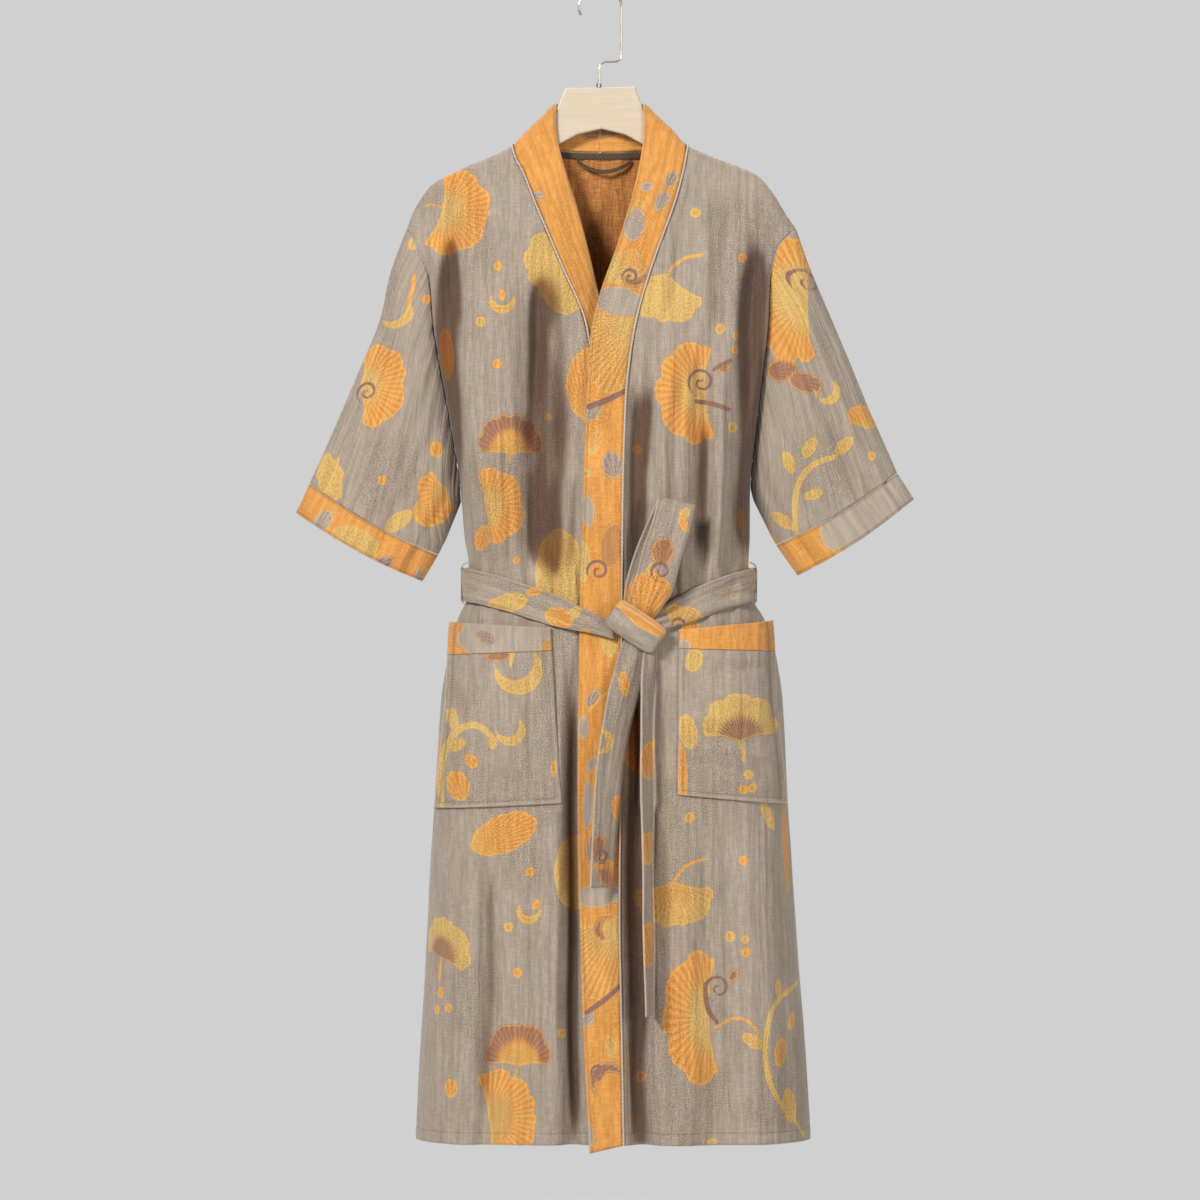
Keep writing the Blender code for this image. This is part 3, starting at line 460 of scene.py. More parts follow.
UNDER_CHART = charted((
    (OVAL, -8, 168, 15.2, 20, 0, 0.7, 0, 0, 0.9, 0.9), (OVAL, -74, 246, 10.5, 10, 0, 0.55, -1, -1, 0.4, 0.4),
    (OVAL, 47, 401, 16.4, 70, 0, 0.6, -1, -1, 0.6, 0.6),
))
OVER_CHART = charted((
    (OVAL, 9, 166, 15.2, 160, 0, 0.7, 0, 0, 0.9, 0.9), (OVAL, 72, 252, 14, 60, 0, 0.6, -1, -1, 0.5, 0.5),
    (OVAL, -6, 534, 16.4, 70, 0, 0.45, 1, 0.4), (OVAL, 10, 760, 22.2, 95, 0, 0.45, 1, 0.6),
    (OVAL, -8, 830, 12.9, 60, 0, 0.6, -1, -1, 0.6, 0.6),
    (OVAL, -13, 1140, 15.2, 80, 0, 0.5, -1, -1, 0.2, 0.2), (OVAL, 12, 1228, 14, 100, 0, 0.5, 1, 0.6),
    (OVAL, 83, 226, 11.7, 60, 0, 0.7, -1, -1, 0.7, 0.7), (OVAL, 54, 235, 8.2, 0, 0, 0.8, -1, -1, 0.4, 0.4),
    (OVAL, 40, 280, 21.1, 80, 0, 0.62, -1, -1, 0.3, 0.3), (OVAL, 32, 266, 7, 0, 0, 0.9, 1, 1),
    (FAN, 40, 308, 51.5, 250, 62, 1, 0.5, 1, 0, 0, 0.12),
    (CRESCENT, 40, 338, 16.4, -70, 0, 1, 0, 0, 0.9, 0.9), (SPIRAL, 35, 342, 10.5, 0, 0, 1, 0),
    (OVAL, 23, 372, 31.6, -12, 0, 0.6, -1, -1), (FAN, 54, 387, 103, 236, 70, 1, 0.9, 0.45),
    (OVAL, 25, 411, 14, -20, 0, 0.42, 0, 0, 0.9, 0.9), (OVAL, -7, 498, 14, 60, 0, 0.6, -1, -1, 0.5, 0.5),
    (OVAL, 14, 560, 16.4, 100, 0, 0.8, -1, -1, 0.6, 0.6), (RING, -16, 570, 5.8), (RING, 47, 256, 5.8),
    (OVAL, -14, 613, 19.9, 95, 0, 0.4, -1, -1, 0.2, 0.2), (SPIRAL, -2, 682, 14, 0, 0, 1, 0),
    (OVAL, -21, 670, 25.7, 95, 0, 0.4, 1, 1), (OVAL, 14, 653, 28.1, 80, 0, 0.5, 0, 0, 0.6, 0.6),
    (OVAL, -19, 862, 14, 90, 0, 0.5, -1, -1, 0.3, 0.3), (OVAL, -9, 904, 11.7, 60, 0, 0.5, -1, -1, 0.4, 0.4),
    (OVAL, -14, 951, 30.4, 88, 0, 0.2, -1, -1), (OVAL, -2, 998, 23.4, 70, 0, 0.6, -1, -1, 0.6, 0.6),
    (OVAL, -2, 1055, 28.1, 8, 0, 0.5, -1, -1, 0.1, 0.1), (FAN, 33, 1074, 111.1, 250, 60, 1, 0.9, 0.3),
    (CRESCENT, 8, 1094, 15.2, 200, 0, 1, 0, 0, 0.95, 0.95),
    (OVAL, -14, 1197, 11.7, 50, 0, 0.6, -1, -1, 0.4, 0.4),
    (CRESCENT, 8, 1267, 21.1, 120, 0, 1, 0, 0, 0.95, 0.95), (SPIRAL, -2, 1258, 9.4, 0, 0, 1, 0),
    (OVAL, -12, 1328, 16.4, 100, 0, 0.3, -1, -1),
), (
    (3.5, 0, True, ((30, 474), (7, 486), (-14, 493))), (1.9, 1, False, ((-14, 844), (5, 823), (26, 811))),
    (3, 0, True, ((26, 1156), (7, 1174), (-16, 1190))),
))
LEFT_SLEEVE_CHART = charted((
    (CRESCENT, -236, 384, 16.4, -60, 0, 1, 0.8, 1), (FAN, -278, 469, 58.5, 2, 88, 1, 0.9, 0, 0, 0, 0.12),
    (SPIRAL, -271, 474, 14, 0, 0, 1, 0), (CRESCENT, -314, 551, 14, -90, 0, 1, 0.3, 1), (DOT, -191, 544, 5.8),
    (DOT, -290, 401, 5.8), (DOT, -201, 366, 5.8), (OVAL, -190, 541, 10.5, 100, 0, 0.7, 0.5),
    (FAN, -178, 586, 35.1, -150, 82, 1, 0.7, 0, 0.2, 0, 0.12), (OVAL, -194, 612, 23.4, -10, 0, 0.85, 0.5),
    (FAN, -298, 565, 39.8, 200, 70, 1, 0.8, 0.9, 0, 0, 0.12), (OVAL, -213, 296, 14, 60, 0, 0.5, 1, 1),
    (FAN, -240, 314, 35.1, 140, 75, 1, 0.6, 0, 0, 0, 0.12), (DOT, -252, 577, 5.8), (DOT, -330, 530, 5.8),
    (OVAL, -234, 624, 18.7, 30, 0, 0.5, 1, 1),
), (
    (2.2, 0.3, False, ((-216, 337), (-218, 357), (-223, 373))),
))
RIGHT_SLEEVE_CHART = charted((
    (OVAL, 194, 255, 35.1, 118, 0, 0.42, 1, 0.6), (FAN, 241, 366, 72.5, 180, 100, 1.2, 1, -0.02, 0, 0, 0.03),
    (SPIRAL, 241, 346, 17.5, 10, 0, 1, 0), (OVAL, 213, 450, 18.7, 10, 0, 0.7, 0, 0, 0.9, 0.95),
    (OVAL, 238, 464, 21.1, -10, 0, 0.6, -0.3, -0.3, 0.8, 0.95), (CRESCENT, 264, 474, 15.2, -40, 0, 1, 1, 1),
    (OVAL, 252, 275, 25.7, 70, 0, 0.5, -1, -1, 0.3, 0.3), (OVAL, 219, 556, 14, 110, 0, 0.5, 1, 1),
    (OVAL, 243, 539, 14, 60, 0, 0.5, 1, 1), (OVAL, 214, 624, 17.5, 160, 0, 0.45, 1, 0.8),
    (OVAL, 283, 537, 15.2, 40, 0, 0.5, 1, 0.9), (OVAL, 248, 593, 11.7, 20, 0, 0.5, 1, 1),
    (DOT, 304, 507, 5.8), (DOT, 292, 425, 5.8), (RING, 283, 401, 5.8), (RING, 316, 548, 5.8),
    (FAN, 314, 518, 35.1, 100, 70, 1, 0.6, 0, 0, 0, 0.12), (OVAL, 206, 656, 23.4, 120, 0, 0.5, 0.5),
), (
    (3.5, 0.95, False, ((229, 638), (225, 606), (230, 577), (248, 556), (274, 549))),
))
LEFT_CUFF_CHART = charted((
    (FAN, -292, 666, 39.8, 70, 80, 1, 1, 0.9, 0, 0, 0.12),
    (OVAL, -252, 673, 14, 20, 0, 0.6, -1, -1, 0.8, 0.8),
    (OVAL, -211, 688, 11.7, 70, 0, 0.6, -1, -1, 0.5, 0.5),
    (OVAL, -322, 624, 16.4, 50, 0, 0.6, -1, -1, 0.4, 0.4),
))
RIGHT_CUFF_CHART = charted((
    (OVAL, 314, 614, 70.2, 33, 0, 0.7, -1, -1), (OVAL, 295, 629, 10.5, 40, 0, 0.6, 1, 1), (DOT, 328, 600, 7),
    (DOT, 307, 647, 7), (OVAL, 281, 656, 11.7, 30, 0, 0.6, 1, 0.6),
))
LEFT_POCKET_CHART = charted((
    (OVAL, -117, 780, 16.4, 5, 0, 0.4, 0, 0, 0.9, 0.9), (CRESCENT, -94, 797, 28.1, -70, 0, 1, 0.9, 1),
    (CRESCENT, -103, 866, 17.5, -60, 0, 1, 1, 1), (OVAL, -124, 879, 9.4, 100, 0, 0.6, 1, 1),
    (OVAL, -170, 853, 14, 100, 0, 0.5, 1, 1), (OVAL, -165, 883, 11.7, 30, 0, 0.6, 1, 1),
    (OVAL, -149, 901, 10.5, -50, 0, 0.7, 0.3, 0.3), (OVAL, -164, 930, 18.7, 110, 0, 0.75, 0.5, 0.1),
    (OVAL, -53, 910, 11.7, 90, 0, 0.3, 0.5),
), (
    (2.6, 1, False, ((-103, 792), (-98, 764), (-89, 743))),
    (4.2, 0.85, False, ((-184, 954), (-187, 922), (-180, 887), (-164, 863), (-140, 858), (-125, 873))),
))
RIGHT_POCKET_CHART = charted((
    (FAN, 161, 879, 58.5, 92, 82, 0.9, 1, 1, 0.9, 0, 0.04), (RING, 171, 917, 5.8), (RING, 176, 932, 5.8),
    (DOT, 165, 934, 5.8), (OVAL, 108, 785, 14, 70, 0, 0.75, 1, 1),
    (OVAL, 101, 867, 21.1, 100, 0, 0.5, 1, 0.9), (OVAL, 94, 916, 35.1, 92, 0, 0.2, 0.5),
), (
    (3, 0.7, False, ((161, 879), (165, 900))),
))
LEFT_POCKET_BAND_CHART = charted((
    (OVAL, -111, 757, 56.2, 4, 0, 0.5, -1, -1, 0.15, 0.15),
    (OVAL, -129, 759, 16.4, -20, 0, 0.6, -1, -1, 0.7, 0.7),
    (FAN, -70, 748, 25.7, 200, 60, 1, 1, 0.8, 0, 0, 0.12),
))
RIGHT_POCKET_BAND_CHART = charted((
    (OVAL, 97, 771, 11.7, 80, 0, 0.7, -1, -1, 0.2, 0.2),
))
BELT_CHART = charted((
    (OVAL, -108, 720, 25.7, 14, 0, 0.45, 1, 0.9), (OVAL, -47, 736, 17.5, -20, 0, 0.7, 0.6, 0.1),
    (OVAL, -30, 731, 10.5, 40, 0, 0.6, 1, 1), (OVAL, -76, 706, 10.5, 10, 0, 0.5, 0.5),
    (OVAL, -23, 755, 14, 10, 0, 0.4, 0.3, 0.1), (FAN, 84, 764, 46.8, 55, 50, 1, 1, 0.7, 0.5),
    (SPIRAL, 91, 746, 10.5, 0, 0, 1, 0), (OVAL, 96, 755, 9.4, 0, 0, 0.8, 0, 0, 0.7, 0.7),
    (OVAL, 158, 706, 11.7, 60, 0, 0.5, -1, -1),
))
BACK_CHART = PrintChart(tuple(
    Motif(motif.figure, 12 - motif.across + shift, motif.drop + fall, motif.size, 180 - motif.turn,
    motif.spread,
          motif.tall, motif.heart, motif.rim, motif.mauve_heart, motif.mauve_rim, motif.notch)
    for chart, shift, fall in ((LEFT_CHART, -8, 18), (RIGHT_CHART, 6, -14)) for motif in chart.motifs
    if motif.figure is not Figure.SPIRAL))
BOW_CHART = charted((
    (OVAL, 56, 713, 30, 72, 0, 0.95, 0.4), (SPIRAL, 70, 683, 13, 40, 0, 1, 0),
    (OVAL, 72, 660, 17, 80, 0, 0.8, 0.9, 0, 0.75, 0.9), (OVAL, 58, 682, 8, 80, 0, 0.7, 1, 1),
    (OVAL, 97, 616, 8, 60, 0, 0.7, 0.9, 1), (OVAL, 96, 629, 10, -60, 0, 0.5, 0.3),
))
TAIL_CHART = charted((
    (CRESCENT, 2, 878, 14, 0, 0, 1, 0.9, 1), (OVAL, -8, 893, 9, 60, 0, 0.6, 0, 0, 0.8, 0.8),
    (OVAL, 28, 812, 16, 100, 0, 0.4, 0.4, 0.1), (OVAL, 22, 955, 16, 100, 0, 0.6),
    (FAN, 2, 1040, 30, 40, 80, 1, 0.3, 0, 0.9, 0.3), (SPIRAL, 2, 1010, 9, 0, 0, 1, 0),
    (OVAL, -2, 998, 14, 80, 0, 0.7, 0, 0, 0.9, 0.9),
), (
    (1.4, 0.9, False, ((14, 796), (24, 812), (36, 824))),
))
EDGE_TAIL_CHART = charted((
    (OVAL, 57, 900, 24, 90, 0, 0.4, 0.4, 0.1), (OVAL, 57, 1000, 20, 90, 0, 0.5, 0.6, 0.2),
    (OVAL, 57, 1110, 26, 90, 0, 0.4),
))
KNOT_CHART = charted((
    (OVAL, 52, 735, 40, -34, 0, 0.34), (OVAL, 24, 716, 16, -20, 0, 0.6, 0.3),
    (OVAL, 44, 712, 14, 10, 0, 0.5, 1, 0.8),
))


@dataclass
class ClothGrid:
    """A sheet of cloth as rows of points in millimetres, with where each point is on the cloth laid flat.

    The chart place is read by the printed pattern, and the thread place, along and across the grain,
    by the weave.
    """

    points: np.ndarray
    chart: np.ndarray
    thread: np.ndarray
    closed: bool = False
    pale_edge_and_painted_shade: np.ndarray | None = None
    stitch: np.ndarray | None = None

    def normals(self) -> np.ndarray:
        """Works out the unit normals, to the outer side for rows down and columns to the right.

        Returns:
            The normal of each point.
        """
        along = np.gradient(self.points, axis=0)
        if self.closed:
            across = np.roll(self.points, -1, axis=1) - np.roll(self.points, 1, axis=1)
        else:
            across = np.gradient(self.points, axis=1)
        return unit(np.cross(across, along))

    def lift(self, heights: np.ndarray, outward: np.ndarray) -> None:
        """Moves each point along its normal.

        Args:
            heights: how far, in millimetres.
            outward: a rough outward direction for each point, which settles the normal's sign.
        """
        normals = self.normals()
        sign = np.where((normals * outward).sum(axis=-1, keepdims=True) < 0, -1.0, 1.0)
        self.points = self.points + normals * sign * heights[..., None]

    def turned(self) -> "ClothGrid":
        """Returns the grid with its columns reversed, which turns it over."""
        flip = [None if part is None else part[:, ::-1] for part in (self.pale_edge_and_painted_shade, self.stitch)]
        return ClothGrid(self.points[:, ::-1], self.chart[:, ::-1], self.thread[:, ::-1], self.closed, *flip)


def crinkle(thread: np.ndarray, seed: int, reach: float = 1.0) -> np.ndarray:
    """Returns the fine upright crinkles of washed double gauze, in millimetres.

    Args:
        thread: (across, down) of each point on the cloth, in millimetres.
        seed: fixes the crinkles of this piece.
        reach: scales their height.

    Returns:
        The height of each point.
    """
    rng = np.random.default_rng(seed)
    across, down = thread[..., 0], thread[..., 1]
    total = np.zeros(across.shape)
    for pitch in (8.5, 11.0, 14.5, 19.0, 27.0, 41.0):
        phase, sway, speed, fade = rng.uniform(0, 2 * math.pi, 4)
        drift = 0.22 * pitch * np.sin(down / (9.0 * pitch) + sway)
        drift = drift + 0.1 * pitch * np.sin(down / (3.1 * pitch) + speed)
        strength = 0.55 + 0.45 * np.sin(down / (6.0 * pitch) + across / (4.0 * pitch) + fade)
        total += pitch ** 0.62 * strength * np.sin(2 * math.pi * (across + drift) / pitch + phase)
    return reach * 0.062 * total


@dataclass(frozen=True)
class Crease:
    """A soft ridge, or with a negative lift a trough. A skew above 1 widens its right flank."""

    top_across: float
    top_drop: float
    low_across: float
    low_drop: float
    lift: float
    half_width: float
    skew: float = 1.0

    def heights(self, across: np.ndarray, drop: np.ndarray) -> np.ndarray:
        """Returns the crease's height at each point, fading out at both ends.

        Args:
            across: the points' place across.
            drop: the points' drop.

        Returns:
            The height of each point.
        """
        start = np.array([self.top_across, self.top_drop])
        run = np.array([self.low_across, self.low_drop]) - start
        length = float(np.hypot(*run))
        along = ((across - start[0]) * run[0] + (drop - start[1]) * run[1]) / length
        beside = ((across - start[0]) * run[1] - (drop - start[1]) * run[0]) / length
        beside = beside + 0.18 * self.half_width * np.sin(along / 37.0 + self.top_across)
        ends = smooth(along / (0.22 * length)) * smooth((length - along) / (0.22 * length) + 0.05)
        width = np.where(beside > 0, self.half_width * self.skew, self.half_width)
        return self.lift * ends * np.exp(-((beside / width) ** 2))


def creased(creases: tuple[Crease, ...], across: np.ndarray, drop: np.ndarray) -> np.ndarray:
    """Returns the height that all the creases together give each point."""
    return sum((crease.heights(across, drop) for crease in creases), np.zeros(np.shape(across)))


def set_inputs(tree: bpy.types.NodeTree, node: bpy.types.Node, inputs: dict[Any, Any]) -> None:
    """Sets a shader node's inputs.

    Args:
        tree: the material's node tree.
        node: the node.
        inputs: a value or a socket to link from, by input name or index.
    """
    for key, value in inputs.items():
        if isinstance(value, bpy.types.NodeSocket):
            tree.links.new(value, node.inputs[key])
        else:
            node.inputs[key].default_value = value


def add_node(tree: bpy.types.NodeTree, kind: str, inputs: dict[Any, Any], **settings: Any) -> bpy.types.Node:
    """Adds a shader node.

    Args:
        tree: the material's node tree.
        kind: the node's type name.
        inputs: a value or a socket to link from, by input name or index.
        settings: the node's own properties.

    Returns:
        The node.
    """
    node = tree.nodes.new(kind)
    for name, value in settings.items():
        setattr(node, name, value)
    set_inputs(tree, node, inputs)
    return node


def blend_colour(tree: bpy.types.NodeTree, share: Any, start: Any, end: Any,
        mode: str = "MIX") -> bpy.types.NodeSocket:
    """Blends two colours in a material and returns the blended colour's socket."""
    inputs = {0: share, 6: start, 7: end}
    return add_node(tree, "ShaderNodeMix", inputs, data_type="RGBA", blend_type=mode,
        clamp_factor=True).outputs[2]


def ramp(tree: bpy.types.NodeTree, value: Any, low: float, high: float, to_low: float = 0.0,
        to_high: float = 1.0) -> Any:
    """Maps a value from low..high to to_low..to_high with soft ends, and returns the socket."""
    inputs = {0: value, 1: low, 2: high, 3: to_low, 4: to_high}
    return add_node(tree, "ShaderNodeMapRange", inputs, interpolation_type="SMOOTHSTEP").outputs[0]


def figure(tree: bpy.types.NodeTree, operation: str, *values: Any) -> bpy.types.NodeSocket:
    """Works out one number in a material and returns its socket."""
    return add_node(tree, "ShaderNodeMath", dict(enumerate(values)), operation=operation).outputs[0]


def new_material(name: str) -> tuple[bpy.types.Material, bpy.types.NodeTree, bpy.types.Node]:
    """Makes an empty material with its main shader.

    Args:
        name: the material's name.

    Returns:
        The material, its node tree and the shader.
    """
    material = bpy.data.materials.new(name)
    material.use_nodes = True
    tree = material.node_tree
    tree.nodes.clear()
    shader = tree.nodes.new("ShaderNodeBsdfPrincipled")
    output = tree.nodes.new("ShaderNodeOutputMaterial")
    tree.links.new(shader.outputs[0], output.inputs[0])
    return material, tree, shader


# Printed colours: pigment inks on undyed gauze, so each is a little greyed and warm.
TAUPE = "#B9AA99"
TAUPE_SHADE = "#A59686"
ORANGE = "#EDAD60"
ORANGE_DEEP = "#DD9440"
YELLOW = "#E0BF78"
YELLOW_SPECK = "#C9A359"
REVERSE = "#E39D58"
REVERSE_SPECK = "#B3703A"
MAUVE_DEEP = "#85594B"
MAUVE = "#AA8474"
LEAF_RIM = "#EFC069"

# Shades of the cloth itself and its topstitching, and painted shade for its crinkles, deep folds and stitch
# grooves.
CRINKLE_PAINTED_SHADE = "#6E5743"
CLOUD_SHADE = "#6B5443"
SPECKLE_SHADE = "#8A6E57"
FOLD_PAINTED_SHADE = "#7A5840"
THIN_PRINT = "#C9B9A6"
STITCH_GROOVE_PAINTED_SHADE = "#4E3D2F"
STITCH_THREAD = "#B9A48E"


@dataclass(frozen=True)
class DoubleGauze:
    """Cotton double gauze, woven plain in two light layers and washed, so that it crinkles along its warp.

    Woven from spun yarn it is matt and slubbed: fine uneven threads both ways, with soft upright crinkles.
    The real threads are 0.5 mm apart, too fine to show, so the weave is drawn at 1.5 mm.
    """

    name: str
    ground: str
    ground_shade: str
    printed: bool = True
    thread_mm: float = 1.5
    slub_mm: float = 13.0
    crinkle_mm: float = 5.0
    crinkle_run_mm: float = 55.0
    roughness: float = 0.92
    sheen: float = 0.18

    def threads(self, tree: bpy.types.NodeTree, across_mm: float, down_mm: float,
            detail: float = 2.0) -> Any:
        """Makes noise drawn out along the cloth.

        Args:
            tree: the material's node tree.
            across_mm: the grain's size across, in millimetres.
            down_mm: its size down.
            detail: how many finer layers it has.

        Returns:
            The noise's socket.
        """
        cloth = add_node(tree, "ShaderNodeUVMap", {}, uv_map="cloth").outputs[0]
        scale = (1 / (across_mm * MM), 1 / (down_mm * MM), 1)
        placed = add_node(tree, "ShaderNodeMapping", {0: cloth, 3: scale}).outputs[0]
        inputs = {"Vector": placed, "Scale": 1.0, "Detail": detail, "Roughness": 0.55}
        return add_node(tree, "ShaderNodeTexNoise", inputs, noise_dimensions="2D").outputs[0]

    def build(self) -> bpy.types.Material:
        """Makes the material.

        Returns:
            The material.
        """
        material, tree, shader = new_material(self.name)
        warp = self.threads(tree, self.thread_mm, self.slub_mm)
        weft = self.threads(tree, self.slub_mm, self.thread_mm)
        weave = figure(tree, "ADD", figure(tree, "MULTIPLY", warp, 0.5), figure(tree, "MULTIPLY", weft, 0.5))
        gather = self.threads(tree, self.crinkle_mm, self.crinkle_run_mm, 3.0)
        cloud = self.threads(tree, 120.0, 170.0)
        light, shade = linear(self.ground), linear(self.ground_shade)
        colour = blend_colour(tree, ramp(tree, weave, 0.3, 0.7), shade, light)
        if self.printed:
            colour = self.inked(tree, colour, weave)
        # Painted shade in the crinkles' troughs, where the bump sinks.
        colour = blend_colour(tree, ramp(tree, gather, 0.3, 0.7, 0.2, 0.0), colour, linear(CRINKLE_PAINTED_SHADE),
            "MULTIPLY")
        colour = blend_colour(tree, ramp(tree, cloud, 0.35, 0.7, 0.12, 0.0), colour, linear(CLOUD_SHADE),
            "MULTIPLY")
        grains = self.threads(tree, 1.4, 1.4, 1.0)
        patch = figure(tree, "MULTIPLY", ramp(tree, cloud, 0.44, 0.62), ramp(tree, grains, 0.42, 0.62))
        colour = blend_colour(tree, figure(tree, "MULTIPLY", patch, 0.5), colour, linear(SPECKLE_SHADE),
            "MULTIPLY")
        colour = self.finished_edges(tree, colour)
        surface = {"Base Color": colour, "Roughness": self.roughness, "Specular IOR Level": 0.22}
        set_inputs(tree, shader, surface | {"Sheen Weight": self.sheen, "Sheen Roughness": 0.55})
        fine = add_node(tree, "ShaderNodeBump",
            {"Strength": 0.35, "Distance": 0.3 * MM, "Height": weave}).outputs[0]
        folded = {"Strength": 0.9, "Distance": 1.5 * MM, "Height": gather, "Normal": fine}
        set_inputs(tree, shader, {"Normal": add_node(tree, "ShaderNodeBump", folded).outputs[0]})
        return material

    def inked(self, tree: bpy.types.NodeTree, ground: Any, weave: Any) -> bpy.types.NodeSocket:
        """Lays the printed figures over the ground colour.

        Args:
            tree: the material's node tree.
            ground: the ground's colour.
            weave: the threads' height, which breaks up the print's edges as ink on yarn does.

        Returns:
            The printed colour's socket.
        """
        read = {name: add_node(tree, "ShaderNodeAttribute", {},
            attribute_name=name).outputs["Fac"] for name in PRINT_FIELDS}
        frayed = figure(tree, "MULTIPLY", figure(tree, "SUBTRACT", weave, 0.5), 3.4)
        edge = figure(tree, "ADD", read["print_edge"], frayed)
        stripes = figure(tree, "SINE", figure(tree, "MULTIPLY", read["print_vein"], 1.25))
        fine = self.threads(tree, 2.3, 2.6, 3.0)
        veined = ramp(tree, figure(tree, "ADD", figure(tree, "MULTIPLY", stripes, 0.2), fine), 0.3, 0.66)
        orange = blend_colour(tree, veined, linear(ORANGE_DEEP), linear(ORANGE))
        yellow = blend_colour(tree, ramp(tree, fine, 0.34, 0.56), linear(YELLOW_SPECK), linear(YELLOW))
        streaked = figure(tree, "ADD", read["print_hue"], figure(tree, "MULTIPLY", stripes, 0.34))
        leaf = blend_colour(tree, ramp(tree, streaked, 0.15, 0.95), orange, yellow)
        leaf = blend_colour(tree, ramp(tree, read["print_hue"], -0.1, -0.7), leaf, linear(TAUPE))
        mauve = blend_colour(tree, fine, linear(MAUVE_DEEP), linear(MAUVE))
        dusted = figure(tree, "ADD", read["print_mauve"],
            figure(tree, "MULTIPLY", figure(tree, "SUBTRACT", fine, 0.5), 1.3))
        rayed = figure(tree, "ADD", dusted, figure(tree, "MULTIPLY", stripes, 0.2))
        leaf = blend_colour(tree, ramp(tree, rayed, 0.2, 1.15), leaf, mauve)
        rim = figure(tree, "MULTIPLY", ramp(tree, edge, 0.2, 1.2), ramp(tree, edge, 3.2, 1.8, 0.0, 0.5))
        leaf = blend_colour(tree, rim, leaf, linear(LEAF_RIM))
        colour = blend_colour(tree, ramp(tree, edge, -0.5, 0.7), ground, leaf)
        drawn = figure(tree, "ADD", read["print_ink"], figure(tree, "MULTIPLY", frayed, 0.3))
        stroke = blend_colour(tree, read["print_ink_hue"], mauve, yellow)
        return blend_colour(tree, ramp(tree, drawn, -0.5, 0.5), colour, stroke)

    @staticmethod
    def finished_edges(tree: bpy.types.NodeTree, colour: Any) -> bpy.types.NodeSocket:
        """Lightens the folded edges, where the print is thin, paints shade into deep folds and stitch
        grooves and draws the topstitching.

        Args:
            tree: the material's node tree.
            colour: the cloth's colour.

        Returns:
            The finished colour's socket.
        """
        edge = add_node(tree, "ShaderNodeAttribute", {}, attribute_name="pale_edge_and_painted_shade").outputs["Fac"]
        colour = blend_colour(tree, ramp(tree, edge, 0.0, 1.0, 0.0, 0.75), colour, linear(THIN_PRINT))
        # Painted shade: below 0 the attribute darkens the deep folds and the cloth beside the sleeves.
        colour = blend_colour(tree, ramp(tree, edge, 0.0, -1.0, 0.0, 0.85), colour, linear(FOLD_PAINTED_SHADE),
            "MULTIPLY")
        gap = add_node(tree, "ShaderNodeAttribute", {}, attribute_name="stitch_gap").outputs["Fac"]
        run = add_node(tree, "ShaderNodeAttribute", {}, attribute_name="stitch_run").outputs["Fac"]
        # Lockstitch about 3 mm long.
        dash = ramp(tree, figure(tree, "SINE", figure(tree, "MULTIPLY", run, 2 * math.pi / 3.4)), -0.7, 0.1)
        # Painted shade in the groove that the stitching pulls into the cloth.
        groove = ramp(tree, gap, 1.6, 0.3, 0.0, 0.45)
        colour = blend_colour(tree, groove, colour, linear(STITCH_GROOVE_PAINTED_SHADE), "MULTIPLY")
        thread = figure(tree, "MULTIPLY", ramp(tree, gap, 0.9, 0.4, 0.0, 0.6), dash)
        return blend_colour(tree, thread, colour, linear(STITCH_THREAD))


PRINT_FIELDS = ("print_edge", "print_hue", "print_mauve", "print_vein", "print_ink", "print_ink_hue")


@dataclass(frozen=True)
class CottonTrim:
    """Bias-cut cotton, folded over a cord or into a tape: matt, with fine slanting threads 1 mm apart."""

    name: str
    colour: str
    shade: str
    thread_mm: float = 1.1

    def build(self) -> bpy.types.Material:
        """Makes the material.

        Returns:
            The material.
        """
        material, tree, shader = new_material(self.name)
        place = add_node(tree, "ShaderNodeTexCoord", {}).outputs["Object"]
        scale = 1 / (self.thread_mm * MM)
        noise = {"Vector": place, "Scale": scale, "Detail": 3.0, "Roughness": 0.6}
        threads = add_node(tree, "ShaderNodeTexNoise", noise).outputs[0]
        slant = {"Vector": place, "Scale": scale * 0.16, "Distortion": 1.5}
        ribs = add_node(tree, "ShaderNodeTexWave", slant, bands_direction="DIAGONAL").outputs["Fac"]
        both = figure(tree, "ADD", figure(tree, "MULTIPLY", threads, 0.6),
            figure(tree, "MULTIPLY", ribs, 0.4))
        colour = blend_colour(tree, ramp(tree, both, 0.3, 0.7), linear(self.shade), linear(self.colour))
        bump = add_node(tree, "ShaderNodeBump",
            {"Strength": 0.6, "Distance": 0.3 * MM, "Height": both}).outputs[0]
        surface = {"Base Color": colour, "Roughness": 0.88, "Specular IOR Level": 0.25, "Normal": bump}
        set_inputs(tree, shader, surface)
        return material


